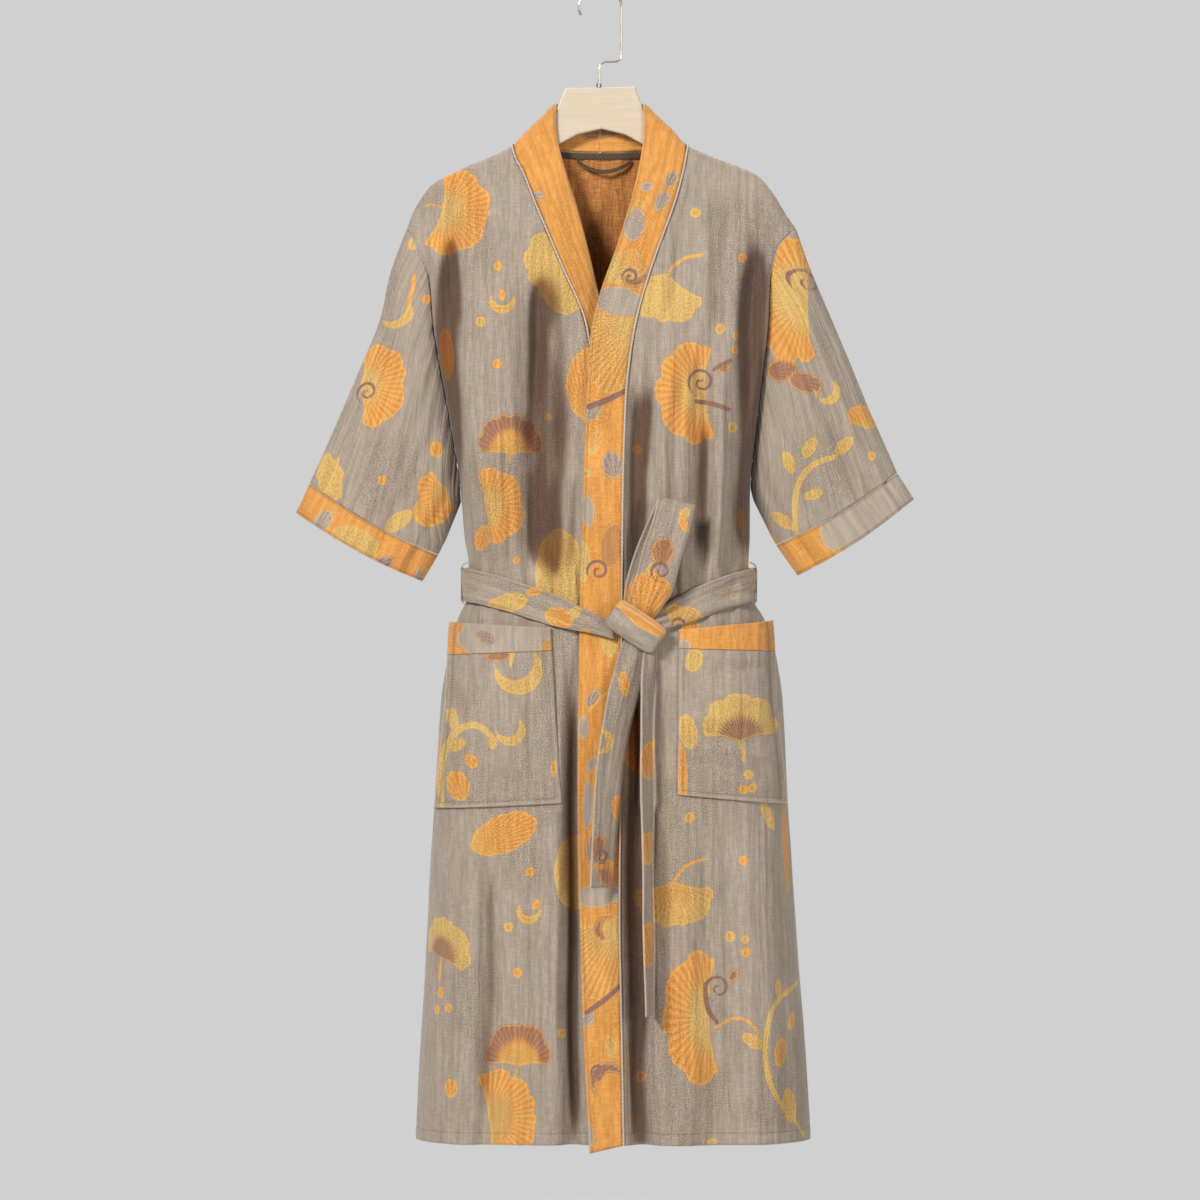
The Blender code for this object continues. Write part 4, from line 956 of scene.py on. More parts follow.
@dataclass(frozen=True)
class LacqueredBeech:
    """Beech board, sanded and sprayed with cream lacquer: an even satin coat, the grain just showing."""

    name: str = "beech_cream_lacquer_sprayed"
    colour: str = "#D3C2AC"
    shade: str = "#CCBAA2"
    rubbed: str = "#CDB597"
    grain_mm: float = 1.6
    grain_run_mm: float = 48.0

    def build(self) -> bpy.types.Material:
        """Makes the material.

        Returns:
            The material.
        """
        material, tree, shader = new_material(self.name)
        place = add_node(tree, "ShaderNodeTexCoord", {}).outputs["Object"]
        scale = (1 / (self.grain_run_mm * MM), 1 / (self.grain_mm * MM), 1 / (self.grain_mm * MM))
        along = add_node(tree, "ShaderNodeMapping", {0: place, 3: scale}).outputs[0]
        grain = add_node(tree, "ShaderNodeTexNoise",
            {"Vector": along, "Scale": 1.0, "Detail": 4.0}).outputs[0]
        worn = add_node(tree, "ShaderNodeTexNoise",
            {"Vector": place, "Scale": 30.0, "Detail": 3.0}).outputs[0]
        colour = blend_colour(tree, ramp(tree, grain, 0.35, 0.7), linear(self.shade), linear(self.colour))
        colour = blend_colour(tree, ramp(tree, worn, 0.55, 0.75, 0.0, 0.12), colour, linear(self.rubbed))
        dull = ramp(tree, worn, 0.3, 0.7, 0.36, 0.46)
        bump = add_node(tree, "ShaderNodeBump",
            {"Strength": 0.12, "Distance": 0.1 * MM, "Height": grain}).outputs[0]
        surface = {"Base Color": colour, "Roughness": dull, "Normal": bump}
        set_inputs(tree, shader, surface | {"Coat Weight": 0.25, "Coat Roughness": 0.3})
        return material


@dataclass(frozen=True)
class SatinSteel:
    """Drawn steel wire, nickel plated and satin polished: fine lines along it give a soft long highlight."""

    name: str = "steel_wire_satin_nickel"
    colour: str = "#C4BBAF"
    shade: str = "#A79D90"
    line_mm: float = 0.5

    def build(self) -> bpy.types.Material:
        """Makes the material.

        Returns:
            The material.
        """
        material, tree, shader = new_material(self.name)
        place = add_node(tree, "ShaderNodeTexCoord", {}).outputs["Object"]
        scale = (1 / (self.line_mm * MM), 1 / (self.line_mm * MM), 1 / (18 * self.line_mm * MM))
        along = add_node(tree, "ShaderNodeMapping", {0: place, 3: scale}).outputs[0]
        lines = add_node(tree, "ShaderNodeTexNoise",
            {"Vector": along, "Scale": 1.0, "Detail": 3.0}).outputs[0]
        colour = blend_colour(tree, ramp(tree, lines, 0.4, 0.7), linear(self.shade), linear(self.colour))
        dull = ramp(tree, lines, 0.3, 0.7, 0.26, 0.4)
        bump = add_node(tree, "ShaderNodeBump",
            {"Strength": 0.15, "Distance": 0.05 * MM, "Height": lines}).outputs[0]
        set_inputs(tree, shader, {"Base Color": colour, "Metallic": 1.0, "Roughness": dull, "Normal": bump})
        return material


@dataclass
class Workroom:
    """The finishes, made once, and the steps that turn a grid of cloth into a piece."""

    printed: bpy.types.Material = field(init=False)
    orange: bpy.types.Material = field(init=False)
    reverse: bpy.types.Material = field(init=False)
    piping: bpy.types.Material = field(init=False)
    tape: bpy.types.Material = field(init=False)
    board: bpy.types.Material = field(init=False)
    wire: bpy.types.Material = field(init=False)

    def __post_init__(self) -> None:
        """Makes the finishes."""
        self.printed = DoubleGauze("cotton_double_gauze_printed_taupe", TAUPE, TAUPE_SHADE).build()
        self.orange = DoubleGauze("cotton_double_gauze_printed_orange", ORANGE, ORANGE_DEEP,
            crinkle_mm=7).build()
        self.reverse = DoubleGauze("cotton_double_gauze_reverse", REVERSE, REVERSE_SPECK,
            printed=False).build()
        self.piping = CottonTrim("cotton_bias_piping_grey", "#CBBDAE", "#B0A192").build()
        self.tape = CottonTrim("cotton_twill_tape_dark_grey", "#61523F", "#43372B").build()
        self.board = LacqueredBeech().build()
        self.wire = SatinSteel().build()

    def sew(self, name: str, grid: ClothGrid, wall: float, finish: bpy.types.Material, chart: PrintChart,
            inside: bpy.types.Material | None = None) -> bpy.types.Object:
        """Makes a cloth piece with its wall, its print and its weave.

        Args:
            name: the piece's name.
            grid: its outer face.
            wall: its thickness in millimetres, inward.
            finish: its outer finish.
            chart: the printed figures on it.
            inside: its inner finish, where it isn't the same.

        Returns:
            The piece.
        """
        rows, columns = grid.points.shape[:2]
        count = rows * columns
        flat = grid.points.reshape(-1, 3)
        index = np.arange(count).reshape(rows, columns)
        after = np.roll(index, -1, axis=1) if grid.closed else index[:, 1:]
        before = index if grid.closed else index[:, :-1]
        faces = np.stack([before[:-1], after[:-1], after[1:], before[1:]], axis=-1).reshape(-1, 4)
        mesh = bpy.data.meshes.new(name)
        mesh.vertices.add(count)
        mesh.vertices.foreach_set("co", (flat * MM).ravel())
        mesh.loops.add(faces.size)
        mesh.loops.foreach_set("vertex_index", faces.ravel().astype(np.int32))
        mesh.polygons.add(len(faces))
        mesh.polygons.foreach_set("loop_start", np.arange(0, faces.size, 4, dtype=np.int32))
        mesh.polygons.foreach_set("loop_total", np.full(len(faces), 4, np.int32))
        mesh.update(calc_edges=True)
        mesh.shade_smooth()
        self.write_fields(mesh, grid, faces, chart)
        piece = bpy.data.objects.new(name, mesh)
        bpy.context.scene.collection.objects.link(piece)
        mesh.materials.append(finish)
        mesh.materials.append(inside or finish)
        shell = piece.modifiers.new("wall", "SOLIDIFY")
        shell.thickness = wall * MM
        shell.offset = -1
        shell.use_even_offset = False
        shell.material_offset = 1
        shell.use_rim = True
        return piece

    @staticmethod
    def write_fields(mesh: bpy.types.Mesh, grid: ClothGrid, faces: np.ndarray, chart: PrintChart) -> None:
        """Writes the print, the pale edges and painted shade, the stitching and the flat cloth's coordinates
        onto a mesh.

        Args:
            mesh: the piece's mesh.
            grid: the grid that it was made from.
            faces: the grid's points at each face.
            chart: the printed figures.
        """
        spots = np.stack([grid.points[..., 0].ravel(), -grid.points[..., 2].ravel()], axis=1)
        layer = chart.paint(spots, grid.chart.reshape(-1, 2))
        count = len(spots)
        zero = np.zeros(count)
        values = dict(zip(PRINT_FIELDS,
            (layer.edge, layer.hue, layer.mauve, layer.vein, layer.ink, layer.ink_hue)))
        values["pale_edge_and_painted_shade"] = zero if grid.pale_edge_and_painted_shade is None else grid.pale_edge_and_painted_shade.ravel()
        values["stitch_gap"] = zero + 99 if grid.stitch is None else grid.stitch[..., 0].ravel()
        values["stitch_run"] = zero if grid.stitch is None else grid.stitch[..., 1].ravel()
        for name, value in values.items():
            mesh.attributes.new(name, "FLOAT", "POINT").data.foreach_set("value", value.astype(np.float32))
        layer_uv = mesh.uv_layers.new(name="cloth")
        threads = grid.thread.reshape(-1, 2)[faces.ravel()] * MM
        layer_uv.data.foreach_set("uv", threads.astype(np.float32).ravel())

    @staticmethod
    def cord(name: str, line: np.ndarray, radius: float, finish: bpy.types.Material) -> bpy.types.Object:
        """Makes a round cord.

        Args:
            name: the piece's name.
            line: its middle line's points, in millimetres.
            radius: its radius in millimetres.
            finish: its finish.

        Returns:
            The cord.
        """
        curve = bpy.data.curves.new(name, "CURVE")
        curve.dimensions = "3D"
        curve.bevel_depth = radius * MM
        curve.bevel_resolution = 3
        curve.use_fill_caps = True
        spline = curve.splines.new("POLY")
        spline.points.add(len(line) - 1)
        spline.points.foreach_set("co", np.column_stack([line * MM, np.ones(len(line))]).ravel())
        curve.materials.append(finish)
        piece = bpy.data.objects.new(name, curve)
        bpy.context.scene.collection.objects.link(piece)
        return piece


def place_on_body(piece: bpy.types.Object, node: str) -> None:
    """Puts a piece in its CAD node's place.

    Args:
        piece: the piece.
        node: the CAD node that it stands for.
    """
    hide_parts(node)
    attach(piece, "root")
    LOG.info("%s stands for %s", piece.name, node)


def density(full: int) -> int:
    return full


@dataclass(frozen=True)
class BodyForm:
    """The hanging robe's form: outlines, depths, folds and the lines of the neck band."""

    left_edge: Curve = Curve(((282, -224.6), (305, -213), (340, -199), (399, -193.5), (439, -187),
        (508, -174.5),
                              (573, -164), (601, -161.5), (640, -158), (676, -153), (705, -153), (741, -167),
                              (780, -177), (834, -185), (951, -193), (1021, -197.5), (1127, -202.5),
                              (1257, -210.5),
                              (1342, -214.7)))
    right_edge: Curve = Curve(((282, 228), (305, 207), (340, 198.5), (399, 195), (439, 190.5), (508, 182.5),
                               (573, 175.5), (601, 174.5), (640, 174.5), (676, 173), (705, 174), (741, 193),
                               (780, 205), (834, 213), (951, 219), (1021, 223.5), (1127, 230.5), (1257, 241),
                               (1342, 245.7)))
    shoulder: Curve = Curve(((-224.6, 282), (-217.6, 263), (-208, 247), (-196.6, 232), (-165, 215),
        (-102.5, 186),
                             (-52, 135), (52, 135), (102.5, 186), (141.6, 203), (183.7, 221), (202.5, 243),
                             (220, 271), (228, 282)))
    front_depth: Curve = Curve(((186, 0), (250, 17), (330, 38), (420, 52), (520, 60), (620, 62), (702, 56),
        (780, 66),
                                (950, 78), (1150, 88), (1342, 94)))
    back_depth: Curve = Curve(((186, 6), (250, 14), (330, 28), (420, 40), (520, 46), (620, 46), (702, 40),
        (780, 48),
                               (950, 60), (1150, 70), (1342, 76)))
    shoulder_cap: float = 12.0
    shoulder_blend: float = 100.0
    armhole_half_depth: float = 24.0
    seam_half: float = 0.15
    overlap: float = 8.0
    gather_pitch: float = 33.0
    gather_lift: float = 2.2
    gather_reach: float = 75.0

    def underarm(self, side: int) -> float:
        """Returns the drop of the underarm."""
        return UNDERARM_LEFT if side < 0 else UNDERARM_RIGHT

    def side_across(self, side: Any, drop: Any) -> np.ndarray:
        """Returns where the side seam is at these drops."""
        return np.where(np.asarray(side) < 0, self.left_edge.at(drop), self.right_edge.at(drop))

    def edge_depth(self, side: Any, drop: Any) -> np.ndarray:
        """Works out the half depth of a side edge: the armhole's opening, or nothing along the side seam.

        Args:
            side: -1 for the left side, 1 for the right.
            drop: the edge's drop.

        Returns:
            The half depth.
        """
        height = np.where(np.asarray(side) < 0, UNDERARM_LEFT, UNDERARM_RIGHT) - SHOULDER_TIP_DROP
        share = np.clip((np.asarray(drop) - SHOULDER_TIP_DROP) / height, 0, 1)
        return self.seam_half + self.armhole_half_depth * np.sqrt(np.clip(np.sin(np.pi * share), 0, None))

    @staticmethod
    def turn(from_edge: Any, width: Any) -> np.ndarray:
        """Returns a quarter round: 0 at the side edge and 1 from this width inward."""
        share = np.clip(from_edge / width, 0, 1)
        return np.sqrt(np.clip(1 - (1 - share) ** 2, 0, None))

    def depth(self, across: Any, drop: Any, front: bool, top: Any = None,
            folds: tuple[Crease, ...] = ()) -> np.ndarray:
        """Works out how far the cloth lies from the middle plane.

        Args:
            across: the points' place across.
            drop: the points' drop.
            front: the front of the robe, or else the back.
            top: the shoulder line's drop over each point.
            folds: the folds of this face. Without them the face is smooth.

        Returns:
            The distance of each point.
        """
        across, drop = np.asarray(across, float), np.asarray(drop, float)
        side = np.where(across < 0, -1, 1)
        below = drop - (self.shoulder.at(across) if top is None else top)
        from_edge = np.abs(self.side_across(side, np.maximum(drop, SHOULDER_TIP_DROP)) - across)
        skirt = smooth((drop - 560) / 200)
        depths = self.front_depth if front else self.back_depth
        body = depths.at(drop) * smooth(below / self.shoulder_blend)
        near = self.turn(from_edge, mix(34.0, 62.0, skirt))
        wide = self.turn(from_edge, mix(150.0, 170.0, skirt))
        inward = mix(near, wide, 0.3)
        share = np.clip(below / self.shoulder_cap, 0, 1)
        full = self.shoulder_cap * np.sqrt(np.clip(1 - (1 - share) ** 2, 0, None)) + body
        if folds:
            drawn = np.exp(-(((drop - WAIST_DROP) / self.gather_reach) ** 2))
            gathers = self.gather_lift * drawn * np.cos(2 * np.pi * across / self.gather_pitch)
            full = full + smooth(below / 60) * near * (self.fold_heights(folds, across, drop) + gathers)
        return self.edge_depth(side, drop) * (1 - inward) + full * inward

    @staticmethod
    def fold_heights(folds: tuple[Crease, ...], across: np.ndarray, drop: np.ndarray) -> np.ndarray:
        """Adds up the body's long folds, which stay full at the hem.

        Args:
            folds: the folds.
            across: the points' place across.
            drop: the points' drop.

        Returns:
            The height of each point.
        """
        total = np.zeros(np.shape(across))
        for fold in folds:
            share = (drop - fold.top_drop) / (fold.low_drop - fold.top_drop)
            centre = mix(fold.top_across, fold.low_across, share)
            closing = 1.0 if fold.low_drop >= HEM_DROP else smooth((1 - share) * 4 + 0.1)
            ends = smooth(share * 4 + 0.1) * closing
            total = total + fold.lift * ends * np.exp(-(((across - centre) / fold.half_width) ** 2))
        return total

    def over_lift(self, across: Any, drop: Any) -> np.ndarray:
        """Returns how far the over front stands off the under front."""
        return self.overlap * smooth((drop - 230) / 150) * smooth((215 - np.asarray(across)) / 150)

    def front_face(self, side: int, across: Any, drop: Any, out: Any) -> np.ndarray:
        """Places points outside a front panel's smooth face.

        Args:
            side: -1 for the left panel, 1 for the right.
            across: the points' place across.
            drop: the points' drop.
            out: how far outside the face they are.

        Returns:
            The points.
        """
        across, drop = np.broadcast_arrays(np.asarray(across, float), np.asarray(drop, float))
        away = self.depth(across, drop, True) + out + (self.over_lift(across, drop) if side > 0 else 0.0)
        return np.stack([across, -away, -drop], axis=-1)

    @staticmethod
    def back_neck(share: Any) -> tuple[np.ndarray, np.ndarray]:
        """Returns (across, drop) along the back neck seam, from the left neck point to the right one."""
        across = mix(-NECK_HALF, NECK_HALF, np.asarray(share, float))
        return across, NECK_DROP + BACK_NECK_DIP * (1 - (across / NECK_HALF) ** 2)

    def levels(self, side: int, rows: int) -> tuple[np.ndarray, np.ndarray]:
        """Lays out the rows of a body panel.

        Args:
            side: -1 for the left side, 1 for the right.
            rows: how many rows.

        Returns:
            The drop of each row at the side edge, and at the neck edge.
        """
        upper = int(rows * 0.44)
        share = np.linspace(0, 1, upper) ** 1.7
        underarm = self.underarm(side)
        outer = SHOULDER_TIP_DROP + share * (underarm - SHOULDER_TIP_DROP)
        inner = NECK_DROP + share * (WAIST_INNER_DROP - NECK_DROP)
        lower = np.linspace(0, 1, rows - upper + 1)[1:]
        skirt = mix(underarm, HEM_DROP, lower)
        blend = smooth((skirt - underarm) / 45)
        return np.concatenate([outer, skirt]), np.concatenate([inner,
            mix(skirt + WAIST_INNER_DROP - underarm, skirt, blend)])

    def place(self, side: int, share: Any, outer: Any, seam_across: Any, seam_drop: Any) -> tuple[Any, Any,
            Any]:
        """Places points between the neck band's seam and the side edge.

        Args:
            side: -1 for the left side, 1 for the right.
            share: the share of the way to the side edge.
            outer: the row's drop at the side edge.
            seam_across: the seam's place across.
            seam_drop: the seam's drop.

        Returns:
            The points' place across, their drop, and the shoulder line's drop over them.
        """
        across = mix(seam_across, self.side_across(side, outer), share)
        level = mix(seam_drop, outer, share)
        top = self.shoulder.at(mix(side * NECK_HALF, self.side_across(side, SHOULDER_TIP_DROP), share))
        straight = mix(NECK_DROP, SHOULDER_TIP_DROP, share)
        fade = np.clip(1 - (outer - SHOULDER_TIP_DROP) / 150, 0, None) ** 2
        return across, level + fade * (top - straight), top


@dataclass(frozen=True)
class NeckLine:
    """How a half of the neck band runs: its seam, its free edge and how far that sinks in."""

    seam: Curve
    free: Curve
    free_drop: Curve
    sink: Curve


UNDER_LINE = NeckLine(
    Curve(((186, -102.5), (190, -102), (200, -99.5), (216, -91), (254, -76), (325, -46.8), (397, -17.6),
    (440, -11),
           (486, -9.4), (600, -13), (780, -18), (951, -18.7), (1068, -16.4), (1342, -8))),
    Curve(((186, -52), (190, -52), (200, -51.5), (216, -50), (254, -44), (325, -25), (397, -4), (440, 14),
    (486, 30),
           (600, 32), (780, 28), (951, 28), (1068, 29), (1342, 36))),
    Curve(((186, 135), (190, 145), (200, 160), (216, 176), (254, 202), (325, 262), (397, 345), (440, 425),
    (486, 480),
           (600, 600), (1342, 1342))),
    Curve(((254, 0), (325, 6), (397, 14), (440, 4), (486, 0))))
OVER_LINE = NeckLine(
    Curve(((186, 102.5), (190, 102), (201, 100.6), (225, 95.5), (256, 86.6), (340, 57.3), (390, 43.3),
    (430, 36),
           (486, 30.4), (600, 27), (717, 26), (928, 24.6), (1068, 23.4), (1200, 25.5), (1342, 28))),
    Curve(((186, 52), (190, 52), (201, 51.5), (225, 49), (256, 43), (340, 20), (390, 0), (430, -11.5),
    (486, -15.5),
           (600, -20), (717, -23.4), (928, -25.7), (1068, -23.4), (1200, -19.5), (1342, -12))),
    Curve(((186, 135), (190, 146), (201, 168), (225, 190), (256, 222), (340, 303), (390, 360), (430, 412),
    (486, 480),
           (600, 600), (717, 717), (928, 928), (1068, 1069), (1200, 1205), (1342, 1351))),
    Curve(((186, 0), (1342, 0))))

LONG_FRONT_FOLDS = tuple(Crease(*row) for row in (
    (-78, 385, -66, 650, -7.0, 13), (-112, 330, -106, 640, 4.0, 16), (-140, 400, -128, 660, -3.5, 12),
    (-40, 450, -42, 690, 3.5, 10), (-38, 740, -33, 1342, -6.0, 10), (-64, 975, -68, 1342, 4.0, 14),
    (-100, 985, -108, 1342, -5.0, 14), (-145, 985, -158, 1342, 5.0, 18), (-182, 1010, -190, 1342, -4.0, 10),
    (70, 420, 66, 690, 4.0, 14), (112, 400, 104, 690, -6.0, 14), (146, 380, 140, 680, 4.5, 13),
    (48, 745, 52, 1342, -8.0, 14), (84, 975, 88, 1342, 4.0, 14), (128, 985, 134, 1342, -4.5, 15),
    (170, 975, 184, 1342, 5.0, 16), (205, 985, 221, 1342, -4.5, 11)))
LONG_BACK_FOLDS = tuple(Crease(*row) for row in (
    (-150, 330, -128, 680, -6.0, 15), (-96, 300, -84, 690, 4.5, 18), (-40, 350, -34, 690, -5.0, 16),
    (18, 300, 20, 690, 4.5, 18), (74, 360, 66, 690, -5.5, 15), (150, 330, 132, 680, 5.0, 16),
    (-150, 760, -172, 1342, 6.0, 20), (-104, 745, -116, 1342, -7.0, 18), (-52, 760, -58, 1342, 5.5, 18),
    (-4, 745, 2, 1342, -6.5, 16), (50, 760, 58, 1342, 6.0, 18), (104, 745, 120, 1342, -7.0, 18),
    (160, 760, 186, 1342, 6.0, 20)))

# Creases: narrow troughs beside soft ridges, as cloth falls from the shoulders and the belt.
FRONT_CREASES = tuple(Crease(*row) for row in (
    (-64, 290, -60, 730, -8.5, 20, 1.4), (-124, 300, -118, 700, 4.2, 22), (42, 440, 40, 740, -7.0, 14, 1.2),
    (120, 400, 112, 700, -4.6, 9), (142, 380, 138, 690, 4.2, 10), (88, 380, 84, 700, 2.8, 12),
    (44, 735, 46, 1440, -8.0, 18, 0.7), (90, 760, 94, 1420, 2.6, 18), (-92, 975, -100, 1420, 2.6, 16),
    (-126, 975, -136, 1420, -3.0, 11), (-34, 770, -32, 1420, -3.6, 8), (-54, 770, -52, 1420, 3.0, 9),
    (-176, 262, -150, 470, -3.4, 9), (-160, 245, -120, 430, 2.4, 11), (-72, 330, -82, 560, -3.6, 8),
    (-60, 360, -56, 640, 3.0, 9), (-92, 470, -76, 700, -3.0, 7), (-120, 500, -112, 690, 2.4, 7),
    (-146, 560, -122, 700, -3.2, 7), (-134, 590, -108, 715, 2.2, 6), (-28, 560, -34, 700, -2.4, 6),
    (-54, 560, -52, 705, -2.0, 5), (-150, 420, -142, 600, 2.4, 8),
    (-30, 745, -28, 1400, -5.6, 8), (-45, 760, -44, 1180, 2.6, 8), (-66, 960, -62, 1342, -2.6, 8),
    (-84, 950, -86, 1342, 2.2, 8), (-120, 970, -130, 1342, -2.6, 8), (-170, 960, -180, 1342, -2.2, 8),
    (104, 205, 84, 400, -2.8, 8), (126, 215, 112, 480, 2.6, 9), (150, 230, 136, 470, -3.0, 9),
    (172, 240, 158, 520, 2.4, 9), (60, 400, 50, 660, -3.2, 8), (92, 430, 82, 700, -3.0, 7),
    (76, 470, 70, 700, 2.6, 6), (126, 500, 118, 690, -3.4, 7), (140, 540, 132, 690, 2.4, 7),
    (158, 560, 150, 700, -3.0, 7), (56, 545, 60, 700, 2.0, 5), (38, 760, 40, 1290, -3.4, 7),
    (62, 780, 66, 1250, 3.4, 8), (74, 950, 76, 1342, -3.0, 8), (104, 960, 110, 1342, 2.6, 10),
    (146, 960, 156, 1342, -3.0, 9), (190, 960, 204, 1342, 2.4, 9)))
# The cloth sinks in beside each sleeve, where the sleeve's weight draws it back.
ARMHOLE_HOLLOWS = (Crease(-178, 270, -172, 690, -22, 13), Crease(180, 270, 172, 690, -26, 15))
BACK_CREASES = tuple(Crease(*row) for row in (
    (-176, 250, -140, 480, -3.4, 10), (-120, 225, -98, 520, 2.6, 12), (-60, 205, -52, 480, -2.6, 12),
    (0, 215, -4, 520, -2.8, 12), (60, 205, 46, 500, 2.4, 12), (120, 220, 104, 540, -3.0, 12),
    (172, 250, 148, 520, 2.8, 10), (-118, 520, -106, 700, -3.0, 8), (-70, 560, -62, 700, 2.6, 8),
    (-16, 540, -10, 700, -3.0, 8), (40, 550, 36, 700, 2.6, 8), (96, 540, 90, 700, -3.0, 8),
    (-130, 740, -142, 1342, 2.6, 10), (-78, 730, -86, 1342, -3.0, 10), (-28, 740, -30, 1342, 2.6, 10),
    (24, 735, 30, 1342, -2.8, 10), (76, 740, 88, 1342, 2.8, 10), (132, 735, 150, 1342, -3.0, 10)))


@dataclass
class Body:
    """The back panel and the two front panels."""

    form: BodyForm
    room: Workroom
    front_rows: int = 400
    front_columns: int = 96
    back_rows: int = 215
    back_columns: int = 200

    def front_grid(self, side: int) -> ClothGrid:
        """Lays out a front panel, from the neck band's seam to the side edge.

        Args:
            side: -1 for the left panel, 1 for the right.

        Returns:
            Its grid.
        """
        rows, columns = density(self.front_rows), density(self.front_columns)
        outer, inner = (level[:, None] for level in self.form.levels(side, rows))
        share = 1 - (1 - np.linspace(0, 1, columns)[None, :]) ** 1.22
        line = UNDER_LINE if side < 0 else OVER_LINE
        across, drop, top = self.form.place(side, share, outer, line.seam.at(inner), inner)
        out = self.form.depth(across, drop, True, top, LONG_FRONT_FOLDS)
        out[0] = self.form.seam_half
        out = out + (self.form.over_lift(across, drop) if side > 0 else 0.0)
        plain = self.form.depth(across, drop, True, top)
        near_edge = smooth((np.abs(self.form.side_across(side,
            outer) - across)) / 26) * smooth((drop - top) / 40)
        near_seam = smooth(np.abs(across - line.seam.at(inner)) / 12)
        extra = (creased(FRONT_CREASES, across, drop) * near_seam * self.calm(across, drop)
                 + creased(ARMHOLE_HOLLOWS, across, drop)) * near_edge
        gathers = self.gathers(across, drop, 1.2, 15.5)
        pocket = smooth((drop - 735) / 10) * smooth((962 - drop) / 12) * smooth((np.abs(across) - 40) / 14)
        out = out + (extra + gathers * near_edge * near_seam) * (1 - 0.9 * pocket)
        # Painted shade: a shadow beside each sleeve and darkening in the deep crease troughs, kept off the
        # pocket.
        beside = smooth(-creased(ARMHOLE_HOLLOWS, across, drop) / 16)
        hollow = np.maximum(smooth(-(extra * (1 - pocket) + 3.5) / 12), beside)
        points = np.stack([across, -out, -drop], axis=-1)
        chart = self.unrolled(np.stack([across, -plain, -drop], axis=-1))
        grid = ClothGrid(points, chart, chart)
        outward = np.broadcast_to(np.array([0.0, -1.0, 0.25]), points.shape)
        wrinkles = crinkle(chart, 11 if side < 0 else 23) * (0.35 + 0.65 * near_edge)
        wrinkles = wrinkles * smooth((drop - top) / 12) * (1 - 0.8 * pocket)
        grid.lift(wrinkles - 0.7 * self.groove(drop), outward)
        grid.points[..., 1] = np.minimum(grid.points[..., 1], -self.form.seam_half)
        grid.stitch = np.stack([np.abs(drop - HEM_STITCH_DROP), chart[..., 0]], axis=-1)
        # A pale hem edge, less the painted shade.
        grid.pale_edge_and_painted_shade = 0.5 * np.exp(-((HEM_DROP - drop) / 1.6) ** 2) - hollow
        return grid if side < 0 else grid.turned()

    @staticmethod
    def calm(across: np.ndarray, drop: np.ndarray) -> np.ndarray:
        """Returns the scale of the creases: less under the belt, which holds the cloth flat."""
        belt = BELT_DROP + BELT_FALL * np.clip(1 - np.abs(across) / BODY_HALF, 0, None) ** 1.1
        return 2.0 - 1.4 * np.exp(-(((drop - belt) / 34) ** 2))

    @staticmethod
    def gathers(across: np.ndarray, drop: np.ndarray, lift: float, pitch: float) -> np.ndarray:
        """Returns the height of the fine gathers that the belt draws up, by their lift and pitch."""
        drawn = np.exp(-(((drop - WAIST_DROP) / 60) ** 2))
        return lift * drawn * np.cos(2 * np.pi * (across + 4 * np.sin(drop / 31)) / pitch)

    @staticmethod
    def groove(drop: np.ndarray) -> np.ndarray:
        """Returns the dip along the hem's stitching."""
        return np.exp(-(((drop - HEM_STITCH_DROP) / 1.8) ** 2))

    @staticmethod
    def unrolled(points: np.ndarray) -> np.ndarray:
        """Lays a panel flat, keeping the first column's place and each row's true length.

        Args:
            points: the panel's smooth face.

        Returns:
            (across, down) of each point on the flat cloth.
        """
        step = np.hypot(np.diff(points[..., 0], axis=1), np.diff(points[..., 1], axis=1))
        toward = np.sign(np.diff(points[..., 0], axis=1))
        across = np.concatenate([points[:, :1, 0], points[:, :1, 0] + np.cumsum(step * toward, axis=1)],
            axis=1)
        return np.stack([across, -points[..., 2]], axis=-1)

    def back_grid(self) -> ClothGrid:
        """Lays out the back panel, with its columns from the left side seam to the right one.

        Returns:
            Its grid.
        """
        rows, half = density(self.back_rows), density(self.back_columns) // 2
        neck_half = max(6, int(half * 0.42))
        spread = 1 - (1 - np.linspace(0, 1, half - neck_half + 1)) ** 1.22
        outer_left, inner_left = (level[:, None] for level in self.form.levels(-1, rows))
        outer_right = self.form.levels(1, rows)[0][:, None]
        neck = np.linspace(0, 1, 2 * neck_half)
        neck_across, neck_drop = self.form.back_neck(neck)
        fall = (inner_left - NECK_DROP) / (HEM_DROP - NECK_DROP)
        mid_drop = mix(neck_drop[None, :], HEM_DROP, fall)
        mid_across = np.broadcast_to(neck_across[None, :], mid_drop.shape)
        mid_out = self.form.depth(mid_across, mid_drop, False, None, LONG_BACK_FOLDS)
        mid_plain = self.form.depth(mid_across, mid_drop, False)
        sides = []
        for side, outer, start in ((-1, outer_left, mid_drop[:, :1]), (1, outer_right, mid_drop[:, -1:])):
            across, drop, top = self.form.place(side, spread[None, 1:], outer, side * NECK_HALF, start)
            out = self.form.depth(across, drop, False, top, LONG_BACK_FOLDS)
            out[0] = self.form.seam_half
            sides.append((across, drop, out, self.form.depth(across, drop, False, top)))
        across, drop, out, plain = (
            np.concatenate([left[:, ::-1], middle, right], axis=1)
            for left, middle, right in zip(sides[0], (mid_across, mid_drop, mid_out, mid_plain), sides[1]))
        top = self.form.shoulder.at(across)
        side = np.where(across < 0, -1, 1)
        edge = self.form.side_across(side, np.maximum(drop, SHOULDER_TIP_DROP))
        near_edge = smooth(np.abs(edge - across) / 26) * smooth((drop - top - 4) / 40)
        loose = 1.9 - 1.3 * np.exp(-(((drop - WAIST_DROP) / 34) ** 2))
        extra = creased(BACK_CREASES, across, drop) * near_edge * loose
        out = out + extra
        gathers = self.gathers(across, drop, 1.3, 16.5)
        out = out + gathers * near_edge
        drop = drop - BACK_HEM_RISE * smooth((drop - 1290) / 52)
        points = np.stack([across, out, -drop], axis=-1)
